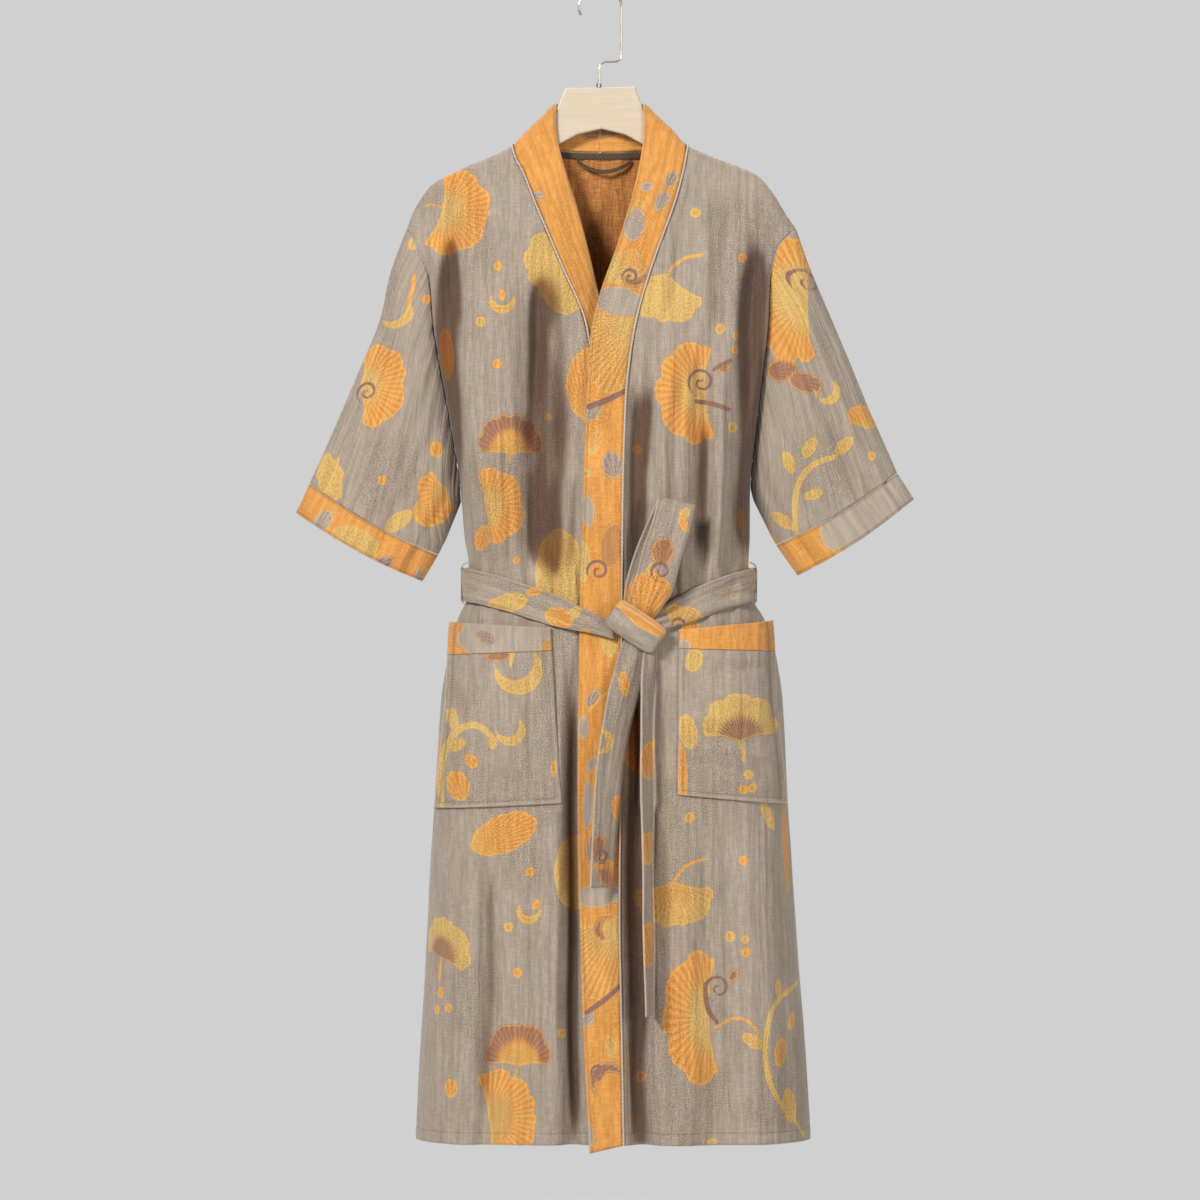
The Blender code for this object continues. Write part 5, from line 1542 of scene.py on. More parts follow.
        middle = points.shape[1] // 2
        flat = self.unrolled(np.stack([across, plain, -drop], axis=-1))
        flat[..., 0] -= flat[:, middle : middle + 1, 0]
        grid = ClothGrid(points, flat, flat)
        outward = np.broadcast_to(np.array([0.0, 1.0, 0.25]), points.shape)
        grid.lift(crinkle(flat, 37) * (0.3 + 0.7 * near_edge) - 0.7 * self.groove(drop), outward)
        grid.points[..., 1] = np.maximum(grid.points[..., 1], self.form.seam_half)
        # Painted shade in the troughs of the back's creases.
        grid.pale_edge_and_painted_shade = -0.7 * smooth(-(extra + 1.5) / 7)
        grid.stitch = np.stack([np.abs(drop - HEM_STITCH_DROP + BACK_HEM_RISE), flat[..., 0]], axis=-1)
        return grid

    def build(self) -> None:
        """Makes the three panels."""
        back = self.room.sew("back_cloth", self.back_grid(), CLOTH_WALL, self.room.printed, BACK_CHART,
            self.room.reverse)
        place_on_body(back, "back_panel")
        for side, word, chart in ((-1, "left", LEFT_CHART), (1, "right", RIGHT_CHART)):
            piece = self.room.sew(f"front_cloth_{word}", self.front_grid(side), CLOTH_WALL,
                self.room.printed, chart, self.room.reverse)
            place_on_body(piece, f"front_{word}")


@dataclass
class NeckBand:
    """The two halves of the neck band and the piping along their outer seams."""

    form: BodyForm
    room: Workroom
    rows: int = 470
    columns: int = 24
    collar_back: float = 14.5
    band_seam: float = 0.85
    half_gap: float = 0.15
    piping_radius: float = 1.2
    stitch_inset: float = 3.2
    crown: float = 1.5

    def lines(self, side: int) -> tuple[np.ndarray, np.ndarray]:
        """Traces a half of the band from the hem to the centre back.

        Args:
            side: -1 for the under half, 1 for the over half.

        Returns:
            The seam line and the free edge.
        """
        form, line = self.form, UNDER_LINE if side < 0 else OVER_LINE
        rows = density(self.rows)
        inner = mix(HEM_DROP, NECK_DROP, np.linspace(0, 1, int(rows * 0.84)) ** 0.93)
        outer_levels, inner_levels = form.levels(side, 400)
        outer = np.interp(inner, inner_levels, outer_levels)
        seam_across = line.seam.at(inner)
        across, drop, top = form.place(side, 0.0, outer, seam_across, inner)
        out = form.depth(across, drop, True, top, LONG_FRONT_FOLDS)
        out = out + (form.over_lift(across, drop) if side > 0 else 0.0)
        seam = np.stack([across, -out, -drop], axis=-1)
        free_across, free_drop = line.free.at(inner), line.free_drop.at(inner)
        free_out = form.depth(free_across, free_drop, True)
        free_out = free_out + (form.over_lift(free_across,
            free_drop) if side > 0 else 0.0) - line.sink.at(inner)
        free = np.stack([free_across, -free_out, -free_drop], axis=-1)
        seam[:, 0] += np.sign(free_across - seam_across) * self.band_seam
        seam[-1, 1], free[-1, 1] = 0.0, 0.0
        seam[-1, 2] += self.band_seam
        share = np.linspace(0, 0.5, rows - len(seam) + 1)[1:]
        neck_across, neck_drop = form.back_neck(share if side < 0 else 1 - share)
        neck_seam = np.stack([neck_across, form.depth(neck_across, neck_drop, False),
            -neck_drop + self.band_seam], axis=-1)
        top_across = neck_across * COLLAR_HALF / NECK_HALF
        standing = self.collar_back * np.sqrt(np.clip(1 - (np.abs(top_across) / COLLAR_HALF) ** 16, 0, None))
        neck_free = np.stack([top_across, standing,
            -(COLLAR_DROP + COLLAR_DIP * (1 - (top_across / COLLAR_HALF) ** 2))], axis=-1)
        neck_seam[-1, 0] = neck_free[-1, 0] = side * self.half_gap
        return np.concatenate([seam, neck_seam]), np.concatenate([free, neck_free])

    def outward(self, side: int, seam: np.ndarray, free: np.ndarray) -> np.ndarray:
        """Works out which way the band faces.

        Args:
            side: -1 for the under half, 1 for the over half.
            seam: the seam line.
            free: the free edge.

        Returns:
            The outward direction at each row.
        """
        run = np.gradient(seam, axis=0)
        out = unit(np.cross(run, free - seam))
        outside = np.stack([np.full(len(seam), side * 4.0), seam[:, 1], np.full(len(seam), 8.0)], axis=-1)
        sign = np.where((out * outside).sum(axis=-1, keepdims=True) < 0, -1.0, 1.0)
        return out * sign

    def grid(self, side: int) -> ClothGrid:
        """Lays out a half of the band, with its rows from the hem to the centre back.

        Args:
            side: -1 for the under half, 1 for the over half.

        Returns:
            Its grid.
        """
        seam, free = self.lines(side)
        out = self.outward(side, seam, free)
        share = np.linspace(0, 1, density(self.columns))[None, :, None]
        points = mix(seam[:, None, :], free[:, None, :], share)
        width = np.linalg.norm(free - seam, axis=-1)[:, None]
        length = run_length(seam)
        beside = share[..., 0] * width
        thread = np.stack([beside, np.broadcast_to(-length, beside.shape)], axis=-1)
        rounded = self.crown * (np.sin(np.pi * share[..., 0]) ** 0.35 - 1)
        pucker = 0.35 * np.sin(length / 2.9 + 1.3 * np.sin(length / 17)) * np.exp(-(((beside - 3) / 5) ** 2))
        ripple = 0.5 * np.sin(length / 21 + beside / 14) * np.sin(np.pi * share[..., 0])
        height = rounded + pucker + ripple + 0.6 * crinkle(thread, 51 if side < 0 else 52)
        height = height * smooth(length / 4 + 0.3)
        points = points + out[:, None, :] * height[..., None]
        chart = as_seen(points)
        edge = np.maximum(np.exp(-(((width - beside) / 1.4) ** 2)), np.exp(-((length / 1.5) ** 2)))
        stitch = np.stack([np.abs(width - beside - self.stitch_inset),
            np.broadcast_to(length, beside.shape)], axis=-1)
        return ClothGrid(points, chart, thread, pale_edge_and_painted_shade=0.28 * edge, stitch=stitch)

    def build(self) -> None:
        """Makes both halves and their piping."""
        for side, word, chart in ((-1, "under", UNDER_CHART), (1, "over", OVER_CHART)):
            grid = self.grid(side)
            grid = grid if side < 0 else grid.turned()
            band = self.room.sew(f"neck_band_cloth_{word}", grid, BAND_WALL, self.room.orange, chart)
            place_on_body(band, f"neck_band_{word}")
            seam, free = self.lines(side)
            line = seam + self.outward(side, seam, free) * (self.piping_radius + 0.5)
            cord = self.room.cord(f"piping_cord_{word}", line[::2], self.piping_radius, self.room.piping)
            place_on_body(cord, f"piping_{word}")


@dataclass(frozen=True)
class Station:
    """A cross line of a sleeve: its outer edge, its inner edge and its half depth."""

    outer: float
    outer_drop: float
    inner: float
    inner_drop: float
    half_depth: float


LEFT_SLEEVE = tuple(Station(*row) for row in (
    (-244.5, 334.6, -166.0, 612, 38), (-257.0, 390.0, -170.5, 623, 43), (-280.0, 446.0, -175.0, 634, 43),
    (-303.0, 500.0, -179.5, 645, 40), (-322.0, 543.0, -184.0, 654, 37), (-338.5, 579.5, -188.5, 663, 34)))
LEFT_CUFF = tuple(Station(*row) for row in (
    (-338.8, 580.2, -188.9, 663.8, 34), (-346.5, 597.0, -198.0, 679, 33), (-354.5, 614.0, -207.0, 694, 33)))
RIGHT_SLEEVE = tuple(Station(*row) for row in (
    (244.5, 327.6, 178.5, 598, 38), (266.0, 379.0, 184.0, 610, 43), (289.0, 433.0, 189.5, 621, 43),
    (311.0, 487.0, 195.0, 632, 40), (330.0, 530.0, 200.0, 642, 37), (346.3, 567.0, 205.0, 651, 34)))
RIGHT_CUFF = tuple(Station(*row) for row in (
    (346.6, 567.7, 205.4, 651.8, 34), (356.5, 583.0, 218.0, 670, 33), (366.0, 598.0, 230.5, 687, 33)))

# Main folds of a sleeve, as share across, lift at the top, lift at the cuff and half width.
SLEEVE_FOLDS = ((0.22, 0.0, -4.0, 0.07), (0.42, 2.0, 4.0, 0.08), (0.62, -3.0, -4.5, 0.08),
    (0.8, 3.0, 3.0, 0.07))
# Finer creases, the same way.
SLEEVE_CREASES = ((0.08, -2.2, -1.0, 0.03), (0.15, 1.4, 1.8, 0.035), (0.3, -2.2, -1.2, 0.035),
    (0.36, 1.8, 0.4, 0.03),
                  (0.5, -2.4, -1.6, 0.035), (0.56, 1.8, 1.2, 0.03), (0.7, 2.0, 0.8, 0.03),
                  (0.74, -2.6, -1.6, 0.03),
                  (0.87, -2.6, -1.4, 0.035), (0.93, 1.6, 0.6, 0.03))


@dataclass
class Sleeve:
    """A sleeve and its cuff."""

    form: BodyForm
    room: Workroom
    side: int
    rings: int = 120
    half_ring: int = 76
    cuff_rings: int = 22
    armhole_seam: float = 0.6
    edge_bow: float = 9.0
    cuff_sag: float = 6.0

    def shares(self) -> np.ndarray:
        """Returns the shares from the outer edge to the inner one, close together at both turns."""
        return 0.5 - 0.5 * np.cos(np.pi * np.linspace(0, 1, density(self.half_ring)))

    def ring(self, station: Station, down: float, bow: float, sag: float) -> np.ndarray:
        """Shapes the front of a ring.

        Args:
            station: the ring's edges and depth.
            down: the share of the way to the cuff, which settles the folds.
            bow: how far the edge bows inward.
            sag: how far the middle sags.

        Returns:
            The ring's front points.
        """
        share = self.shares()
        across = mix(station.outer, station.inner, share) - self.side * bow * np.sin(np.pi * share ** 0.6)
        drop = mix(station.outer_drop, station.inner_drop, share) + sag * np.sin(np.pi * share)
        thick = station.half_depth * np.sqrt(np.clip(np.sin(np.pi * share), 0, None))
        fold = np.zeros(len(share))
        for table, scale in ((SLEEVE_FOLDS, 1.0), (SLEEVE_CREASES, smooth(down * 3))):
            for centre, top_lift, low_lift, width in table:
                wander = centre + 0.018 * math.sin(7 * down + 20 * centre)
                fold += scale * mix(top_lift, low_lift, down) * np.exp(-(((share - wander) / width) ** 2))
        fold = fold * smooth(share * (1 - share) * 8)
        return np.stack([across, -thick - fold, -drop], axis=-1)

    def armhole(self) -> np.ndarray:
        """Shapes the front of the first ring, just off the armhole.

        Returns:
            The ring's front points.
        """
        drop = mix(SHOULDER_TIP_DROP, self.form.underarm(self.side), self.shares())
        across = self.form.side_across(self.side, drop) + self.side * self.armhole_seam
        out = self.form.edge_depth(self.side, drop)
        out[0] = out[-1] = 0.0
        return np.stack([across, -out, -drop - self.armhole_seam], axis=-1)

    def closed_grid(self, fronts: list[np.ndarray], seed: int) -> ClothGrid:
        """Joins front half rings with their backs.

        Args:
            fronts: the front points of each ring.
            seed: fixes the crinkles.

        Returns:
            The tube's grid.
        """
        front = np.stack(fronts)
        back = front[:, 1:-1][:, ::-1] * np.array([1.0, -1.0, 1.0])
        points = np.concatenate([front, back], axis=1)
        step = np.linalg.norm(np.diff(front, axis=1), axis=-1)
        round_front = np.concatenate([np.zeros((len(front), 1)), np.cumsum(step, axis=1)], axis=1)
        half = round_front[:, -1:] / 2
        flat = as_seen(front)
        heading = unit(flat[:, -1] - flat[:, 0])[:, None, :]
        chart_front = (flat[:, :1] + flat[:, -1:]) / 2 + heading * (round_front - half)[..., None]
        chart = np.concatenate([chart_front, chart_front[:, 1:-1][:, ::-1]], axis=1)
        beside = np.concatenate([round_front, round_front[:, 1:-1][:, ::-1]], axis=1)
        middle = (front[:, 0] + front[:, -1]) / 2
        length = run_length(middle)
        thread = np.stack([beside, np.broadcast_to(length, beside.shape)], axis=-1)
        grid = ClothGrid(points, chart, thread, closed=True)
        outward = np.stack([np.zeros(points.shape[:2]), np.sign(points[..., 1]), np.zeros(points.shape[:2])],
            axis=-1)
        room = smooth(np.abs(points[..., 1]) / 16)
        grid.lift(crinkle(thread, seed, 1.15) * room, outward)
        return grid

    def sleeve_grid(self) -> ClothGrid:
        """Lays out the sleeve, from the armhole to the cuff.

        Returns:
            Its grid.
        """
        stations = LEFT_SLEEVE if self.side < 0 else RIGHT_SLEEVE
        keys = np.arange(len(stations) + 1, dtype=float)
        anchors = [self.armhole()]
        for index, station in enumerate(stations):
            down = (index + 1) / len(stations)
            anchors.append(self.ring(station, down, self.edge_bow * (1 - down) ** 2,
                self.cuff_sag * down * down))
        stack = np.stack(anchors)
        wanted = np.linspace(0, len(stations), density(self.rings))
        row = np.clip(wanted.astype(int), 0, len(stations) - 1)
        t = (wanted - row)[:, None, None]
        tangents = np.gradient(stack, keys, axis=0)
        ease, rise = t * t * (3 - 2 * t), t * (1 - t)
        blended = stack[row] * (1 - ease) + stack[row + 1] * ease
        blended = blended + rise * ((1 - t) * tangents[row] - t * tangents[row + 1])
        blended[:, (0, -1), 1] = 0.0
        return self.closed_grid(list(blended), 61 if self.side < 0 else 67)

    def cuff_grid(self) -> ClothGrid:
        """Lays out the cuff.

        Returns:
            Its grid.
        """
        stations = LEFT_CUFF if self.side < 0 else RIGHT_CUFF
        stack = np.stack([self.ring(station, 1.0, 0.0, self.cuff_sag) for station in stations])
        wanted = np.linspace(0, 2, density(self.cuff_rings))
        row = np.clip(wanted.astype(int), 0, 1)
        t = (wanted - row)[:, None, None]
        fronts = stack[row] * (1 - t) + stack[row + 1] * t
        fronts[..., 1] *= (1 + 0.02 * np.sin(np.pi * wanted / 2))[:, None]
        grid = self.closed_grid(list(fronts), 71 if self.side < 0 else 73)
        down = np.broadcast_to(wanted[:, None], grid.points.shape[:2])
        grid.pale_edge_and_painted_shade = 0.25 * np.exp(-(((2 - down) / 0.07) ** 2))
        grid.stitch = np.stack([np.minimum(np.abs(down - 1.86) * 17, np.abs(down - 0.1) * 17),
            grid.thread[..., 0]], axis=-1)
        return grid

    def build(self) -> None:
        """Makes the sleeve and its cuff."""
        word = "left" if self.side < 0 else "right"
        chart = LEFT_SLEEVE_CHART if self.side < 0 else RIGHT_SLEEVE_CHART
        grid = self.sleeve_grid()
        grid = grid.turned() if self.side < 0 else grid
        sleeve = self.room.sew(f"sleeve_cloth_{word}", grid, CLOTH_WALL, self.room.printed, chart,
            self.room.reverse)
        place_on_body(sleeve, f"sleeve_{word}")
        grid = self.cuff_grid()
        grid = grid.turned() if self.side < 0 else grid
        chart = LEFT_CUFF_CHART if self.side < 0 else RIGHT_CUFF_CHART
        cuff = self.room.sew(f"cuff_cloth_{word}", grid, CLOTH_WALL, self.room.orange, chart)
        place_on_body(cuff, f"cuff_{word}")


@dataclass(frozen=True)
class PocketCut:
    """A pocket's corners as (across, drop), and the height of the band along its mouth."""

    outer_top: tuple[float, float]
    inner_top: tuple[float, float]
    outer_low: tuple[float, float]
    inner_low: tuple[float, float]
    band: float
    inner_band: float


LEFT_POCKET = PocketCut((-167.0, 741), (-57.0, 748), (-190.0, 957), (-44.5, 950), 38, 28)
RIGHT_POCKET = PocketCut((193.0, 739), (91.0, 750), (215.0, 952), (89.0, 940), 36, 24)

# Wrinkles that run across a pocket where the cloth slackens.
POCKET_CREASES = tuple(Crease(*row) for row in (
    (96, 846, 190, 862, 1.6, 5), (100, 862, 196, 884, -1.8, 5), (110, 884, 204, 900, 1.6, 5),
    (98, 898, 180, 918, -1.6, 5), (120, 800, 196, 792, -1.4, 6), (104, 778, 184, 788, 1.2, 5),
    (110, 820, 200, 836, 1.2, 6), (128, 918, 206, 934, 1.4, 5),
    (-150, 760, -140, 930, -1.6, 6), (-110, 770, -104, 935, 1.4, 7), (-84, 765, -78, 930, -1.6, 6),
    (-160, 900, -70, 915, 1.0, 6), (-130, 800, -124, 940, -1.2, 5)))


@dataclass
class Pocket:
    """A patch pocket with a turned band along its mouth."""

    form: BodyForm
    room: Workroom
    side: int
    rows: int = 84
    band_rows: int = 22
    columns: int = 62
    seat: float = 2.8
    bulge: float = 8.0
    mouth: float = 5.5
    seam: float = 0.5
    welt: float = 1.5
    stitch_inset: float = 6.2

    def face(self, share: np.ndarray, down: np.ndarray) -> np.ndarray:
        """Shapes the pocket's outer face.

        Args:
            share: the shares across, from the outer side.
            down: the shares down.

        Returns:
            The points.
        """
        cut = LEFT_POCKET if self.side < 0 else RIGHT_POCKET
        top = [mix(cut.outer_top[i], cut.inner_top[i], share) for i in (0, 1)]
        low = [mix(cut.outer_low[i], cut.inner_low[i], share) for i in (0, 1)]
        across, drop = mix(top[0], low[0], down), mix(top[1], low[1], down)
        edge = np.abs(self.form.side_across(self.side, drop)) - 1.5
        inside = np.minimum(np.abs(across), edge) * self.side
        bulge = self.bulge * np.sin(np.pi * share) ** 0.7 * (1 - down ** 3)
        mouth = self.mouth * (1 - smooth(down / 0.5)) * (1 - share ** 4)
        point = self.form.front_face(self.side, inside, drop, 0.0)
        ahead = self.form.front_face(self.side, inside - self.side, drop, 0.0)
        normal = np.stack([ahead[..., 1] - point[..., 1], point[..., 0] - ahead[..., 0],
            np.zeros(share.shape)], axis=-1)
        normal = unit(normal) * np.where(normal[..., 1:2] > 0, -1.0, 1.0)
        return point + normal * (self.seat + bulge + mouth)[..., None]

    def grid(self, banded: bool, rows: int) -> ClothGrid:
        """Lays out the band, or else the panel below it.

        Args:
            banded: the band.
            rows: how many rows.

        Returns:
            Its grid.
        """
        across, down = np.meshgrid(np.linspace(0, 1, density(self.columns)),
            np.linspace(0, 1, density(rows)))
        share = across ** 1.35
        cut = LEFT_POCKET if self.side < 0 else RIGHT_POCKET
        border = mix(cut.band, cut.inner_band, share) / (cut.outer_low[1] - cut.outer_top[1])
        seam = self.seam / (cut.outer_low[1] - cut.outer_top[1])
        down = down * border if banded else mix(border + seam, 1.0, down)
        points = self.face(np.clip(share, 0, 1), down)
        height = cut.outer_low[1] - cut.outer_top[1]
        chart = as_seen(points)
        width = np.abs(chart[..., 0] - chart[:, :1, 0])
        total = width[:, -1:]
        low_gap = np.full(down.shape, 99.0) if banded else (1 - down) * height
        mouth_gap = down * height if banded else np.full(down.shape, 99.0)
        edge_gap = np.minimum(np.minimum(width, total - width), low_gap)
        grid = ClothGrid(points, chart, chart)
        heights = 1.4 * creased(POCKET_CREASES, chart[..., 0], chart[..., 1]) * smooth(edge_gap / 14)
        heights = heights + crinkle(chart, 83 if self.side < 0 else 89, 0.9) * smooth(edge_gap / 9)
        heights = heights + self.welt * np.exp(-(((edge_gap - 2.2) / 2.2) ** 2))
        heights = heights - 0.9 * np.exp(-(((edge_gap - 7) / 2) ** 2))
        heights = heights + 0.5 * np.exp(-(((mouth_gap - 1.6) / 1.8) ** 2))
        grid.lift(heights, np.broadcast_to(np.array([self.side * 0.4, -1.0, 0.0]), points.shape))
        grid.pale_edge_and_painted_shade = 0.85 * np.exp(-((edge_gap / 2.3) ** 4)) + 0.3 * np.exp(-((mouth_gap / 1.6) ** 2))
        grid.stitch = np.stack([np.abs(edge_gap - self.stitch_inset), chart[..., 0] + chart[..., 1]],
            axis=-1)
        return grid.turned() if self.side < 0 else grid

    def build(self) -> None:
        """Makes the pocket and its band."""
        word = "left" if self.side < 0 else "right"
        chart = LEFT_POCKET_CHART if self.side < 0 else RIGHT_POCKET_CHART
        body = self.room.sew(f"pocket_cloth_{word}", self.grid(False, self.rows),
                             CLOTH_WALL, self.room.printed, chart, self.room.reverse)
        place_on_body(body, f"pocket_{word}")
        chart = LEFT_POCKET_BAND_CHART if self.side < 0 else RIGHT_POCKET_BAND_CHART
        band = self.room.sew(f"pocket_band_cloth_{word}", self.grid(True, self.band_rows),
                             CLOTH_WALL, self.room.orange, chart)
        place_on_body(band, f"pocket_band_{word}")


@dataclass(frozen=True)
class Strip:
    """A station of a free stretch of belt: its middle, stand off the front, width, twist and side bow."""

    across: float
    drop: float
    stand: float
    width: float
    twist: float
    bow: float = 0.0


BOW_LOOP = tuple(Strip(*row) for row in (
    (47, 735, 15.0, 30, 0, 2), (53, 719, 29.0, 40, 0, 3), (62, 698, 33.0, 46, 0, 3),
    (71, 664, 32.0, 46, 0, 2),
    (82, 628, 29.0, 44, 0, 1), (87.5, 606, 25.0, 44, 0, 0.5), (89, 601, 19.0, 44, 0, 0),
    (86, 608, 13.0, 44, 0, 0),
    (75, 630, 10.5, 42, 0, 0), (60, 662, 9.8, 39, 0, 0), (48, 692, 11.0, 34, 0, 0),
    (41, 714, 10.0, 28, 0, 0),
    (37, 734, 8.4, 22, 0, 0)))
FRONT_TAIL = tuple(Strip(*row) for row in (
    (38, 762, 8.6, 22, 0, 2), (36, 778, 8.0, 30, 0, 2), (33, 800, 9.5, 36, 8, 1.5),
    (26, 830, 13.0, 38, 18, 1),
    (18, 870, 17.0, 38, 28, 1), (12, 915, 19.0, 38, 34, 1), (8, 960, 20.0, 38, 38, 1),
    (5, 1005, 21.0, 38, 42, 1),
    (3, 1045, 21.5, 38, 44, 0)))
EDGE_TAIL = tuple(Strip(*row) for row in (
    (58, 770, 9.9, 12, 10, 0), (58, 786, 14.0, 24, 45, 1), (57, 812, 21.0, 34, 62, 2),
    (56, 860, 24.0, 38, 68, 2),
    (56, 920, 25.0, 38, 70, 2), (56, 990, 25.0, 38, 72, 2), (57, 1060, 25.0, 38, 74, 2),
    (57.5, 1130, 25.0, 38, 76, 2),
    (57.5, 1192, 25.0, 38, 78, 1)))


@dataclass
class Belt:
    """The tied belt: its run round the waist, knot, bow loop, two tails and the loops that carry it."""

    form: BodyForm
    room: Workroom
    width: float = 38.0
    wall: float = 2.2
    ribbon_wall: float = 1.6
    belt_drop: float = BELT_DROP
    seat: float = 6.0
    side_seat: float = 7.5
    left_end: float = 16.0
    right_end: float = 56.0
    end_reach: float = 55.0
    left_slope: float = BELT_FALL
    right_slope: float = 46.0
    knot_back: float = 92.0
    knot_lean: float = -34.0
    wrap_steps: int = 70
    columns: int = 17
    stitch_inset: float = 3.4
    ribbon_stitch_inset: float = 3.2

    def run_points(self, side: int, front: bool, share: np.ndarray, height: np.ndarray) -> np.ndarray:
        """Places points of the belt round the waist.

        Args:
            side: -1 for the left half, 1 for the right.
            front: the front run, or else the back.
            share: the way from the inner end to the side seam.
            height: how far below the belt's middle line.

        Returns:
            The points.
        """
        end = self.left_end if side < 0 else self.right_end
        edge = float(self.form.side_across(side, self.belt_drop))
        slope = self.left_slope if side < 0 else self.right_slope
        across = mix(end if front else 0.0, edge, share)
        fall = slope * np.clip(1 - share, 0, 1) ** 1.1 if front else np.zeros(share.shape)
        drop = self.belt_drop + fall
        inside = np.clip(np.abs(across), 0, abs(edge) - 0.6) * np.where(across > 0, 1, -1)
        away = self.form.depth(inside, drop + height, front) + self.seat
        if front:
            lifted = self.form.over_lift(across,
                drop) if side > 0 else self.form.overlap * smooth((across + 60) / 34)
            near_knot = 1 - smooth(np.abs(across - end) / self.end_reach)
            away = mix(away + lifted, self.knot_back - 0.3, near_knot)
        spread = 1 + self.side_seat / abs(edge) * smooth((share - 0.75) / 0.25)
        facing = -1 if front else 1
        points = np.stack([across * spread, facing * away, -drop - height], axis=-1)
        at_side = share > 0.999
        points[at_side] = np.stack([np.full(at_side.sum(), edge + side * self.side_seat),
                                    np.zeros(at_side.sum()), (-drop - height)[at_side]], axis=-1)
        return points

    def wrap_grid(self) -> ClothGrid:
        """Lays out the run round the waist, from the knot's left end round the back to its right end.

        Returns:
            Its grid.
        """
        steps, columns = density(self.wrap_steps), density(self.columns)
        share = 1 - (1 - np.linspace(0, 1, steps)) ** 1.9
        half = self.width / 2
        beside = np.linspace(-half, half, columns)
        parts = []
        for side, front, line in ((-1, True, share), (-1, False, share[::-1][1:]), (1, False, share[1:]),
                (1, True, share[::-1][1:])):
            grid_share, grid_beside = np.meshgrid(line, beside, indexing="ij")
            squeeze = 1 - ((0.46 if side < 0 else 0.34) * (1 - smooth(grid_share / 0.5)) if front else 0.0)
            parts.append(self.run_points(side, front, grid_share, grid_beside * squeeze))
        points = np.concatenate(parts)
        middle = points[:, columns // 2]
        length = run_length(middle)
        thread = np.stack([np.broadcast_to(beside[None, :], points.shape[:2]),
            np.broadcast_to(length, points.shape[:2])], axis=-1)
        chart = as_seen(points)
        grid = ClothGrid(points, chart, thread)
        gap = half - np.abs(thread[..., 0])
        total = float(length[-1, 0])
        pull = np.exp(-((length / 70) ** 2)) + np.exp(-(((total - length) / 70) ** 2))
        pleats = 1.5 * np.sin(thread[..., 0] / 3.1 + length / 60) * pull * smooth(gap / 7)
        sway = 0.8 * np.sin(length / 23 + thread[..., 0] / 16) * smooth(gap / 6)
        rounded = 1.3 * (smooth(gap / 4) - 1)
        outward = points.copy()
        outward[..., 2] = 0
        grid.lift(pleats + sway + rounded + 0.5 * crinkle(thread[..., ::-1], 97), outward)
        grid.pale_edge_and_painted_shade = 0.55 * np.exp(-((gap / 1.5) ** 2))
        grid.stitch = np.stack([np.abs(gap - self.stitch_inset), np.broadcast_to(length, gap.shape)],
            axis=-1)
        return grid.turned()

    def ribbon_grid(self, stations: tuple[Strip, ...], steps: int, lean: float, seed: int) -> ClothGrid:
        """Lays out a free strip through its stations.

        Args:
            stations: the strip's stations, from the knot on.
            steps: how many rows.
            lean: how far its width leans from level, in degrees.
            seed: fixes its crinkles.

        Returns:
            Its grid.
        """
        keys = np.arange(len(stations), dtype=float)
        wanted = np.linspace(0, len(stations) - 1, density(steps))
        read = {name: Curve(tuple(zip(keys, [getattr(station, name) for station in stations]))).at(wanted)
                for name in ("across", "drop", "stand", "width", "twist", "bow")}
        turned, leaned = np.radians(read["twist"]), math.radians(lean)
        beside = np.linspace(-0.5, 0.5, density(self.columns))[None, :]
        direction = np.stack([np.cos(turned) * math.cos(leaned), np.sin(turned),
            np.full(len(turned), math.sin(leaned))], axis=-1)
        centre = self.form.front_face(1, read["across"], read["drop"], read["stand"])
        reach = beside * read["width"][:, None]
        points = centre[:, None, :] + direction[:, None, :] * reach[..., None]
        length = run_length(centre)
        thread = np.stack([reach, np.broadcast_to(length, reach.shape)], axis=-1)
        chart = as_seen(points)
        grid = ClothGrid(points, chart, thread)
        gap = read["width"][:, None] / 2 - np.abs(reach)
        cup = read["bow"][:, None] * (np.cos(np.pi * beside) - 0.6)
        pleats = 1.4 * np.sin(reach / 2.6) * np.exp(-((length / 42) ** 2)) * smooth(gap / 4)
        sway = 0.7 * np.sin(length / 27 + reach / 15)
        rounded = 1.0 * (smooth(gap / 3) - 1)
        grid.lift(cup + pleats + sway + rounded + 0.5 * crinkle(thread, seed), self.facing(grid))
        grid.pale_edge_and_painted_shade = 0.75 * np.exp(-((gap / 1.5) ** 2))
        grid.stitch = np.stack([np.abs(gap - self.ribbon_stitch_inset), np.broadcast_to(length, gap.shape)],
            axis=-1)
        return grid

    @staticmethod
    def facing(grid: ClothGrid) -> np.ndarray:
        """Settles which way a strip faces, so that a loop's layers both face out.

        Args:
            grid: the strip.

        Returns:
            An outward direction that turns with the strip.
        """
        normals = grid.normals()
        middle = normals[len(normals) // 3, normals.shape[1] // 2]
        return normals if middle[1] < 0 else -normals

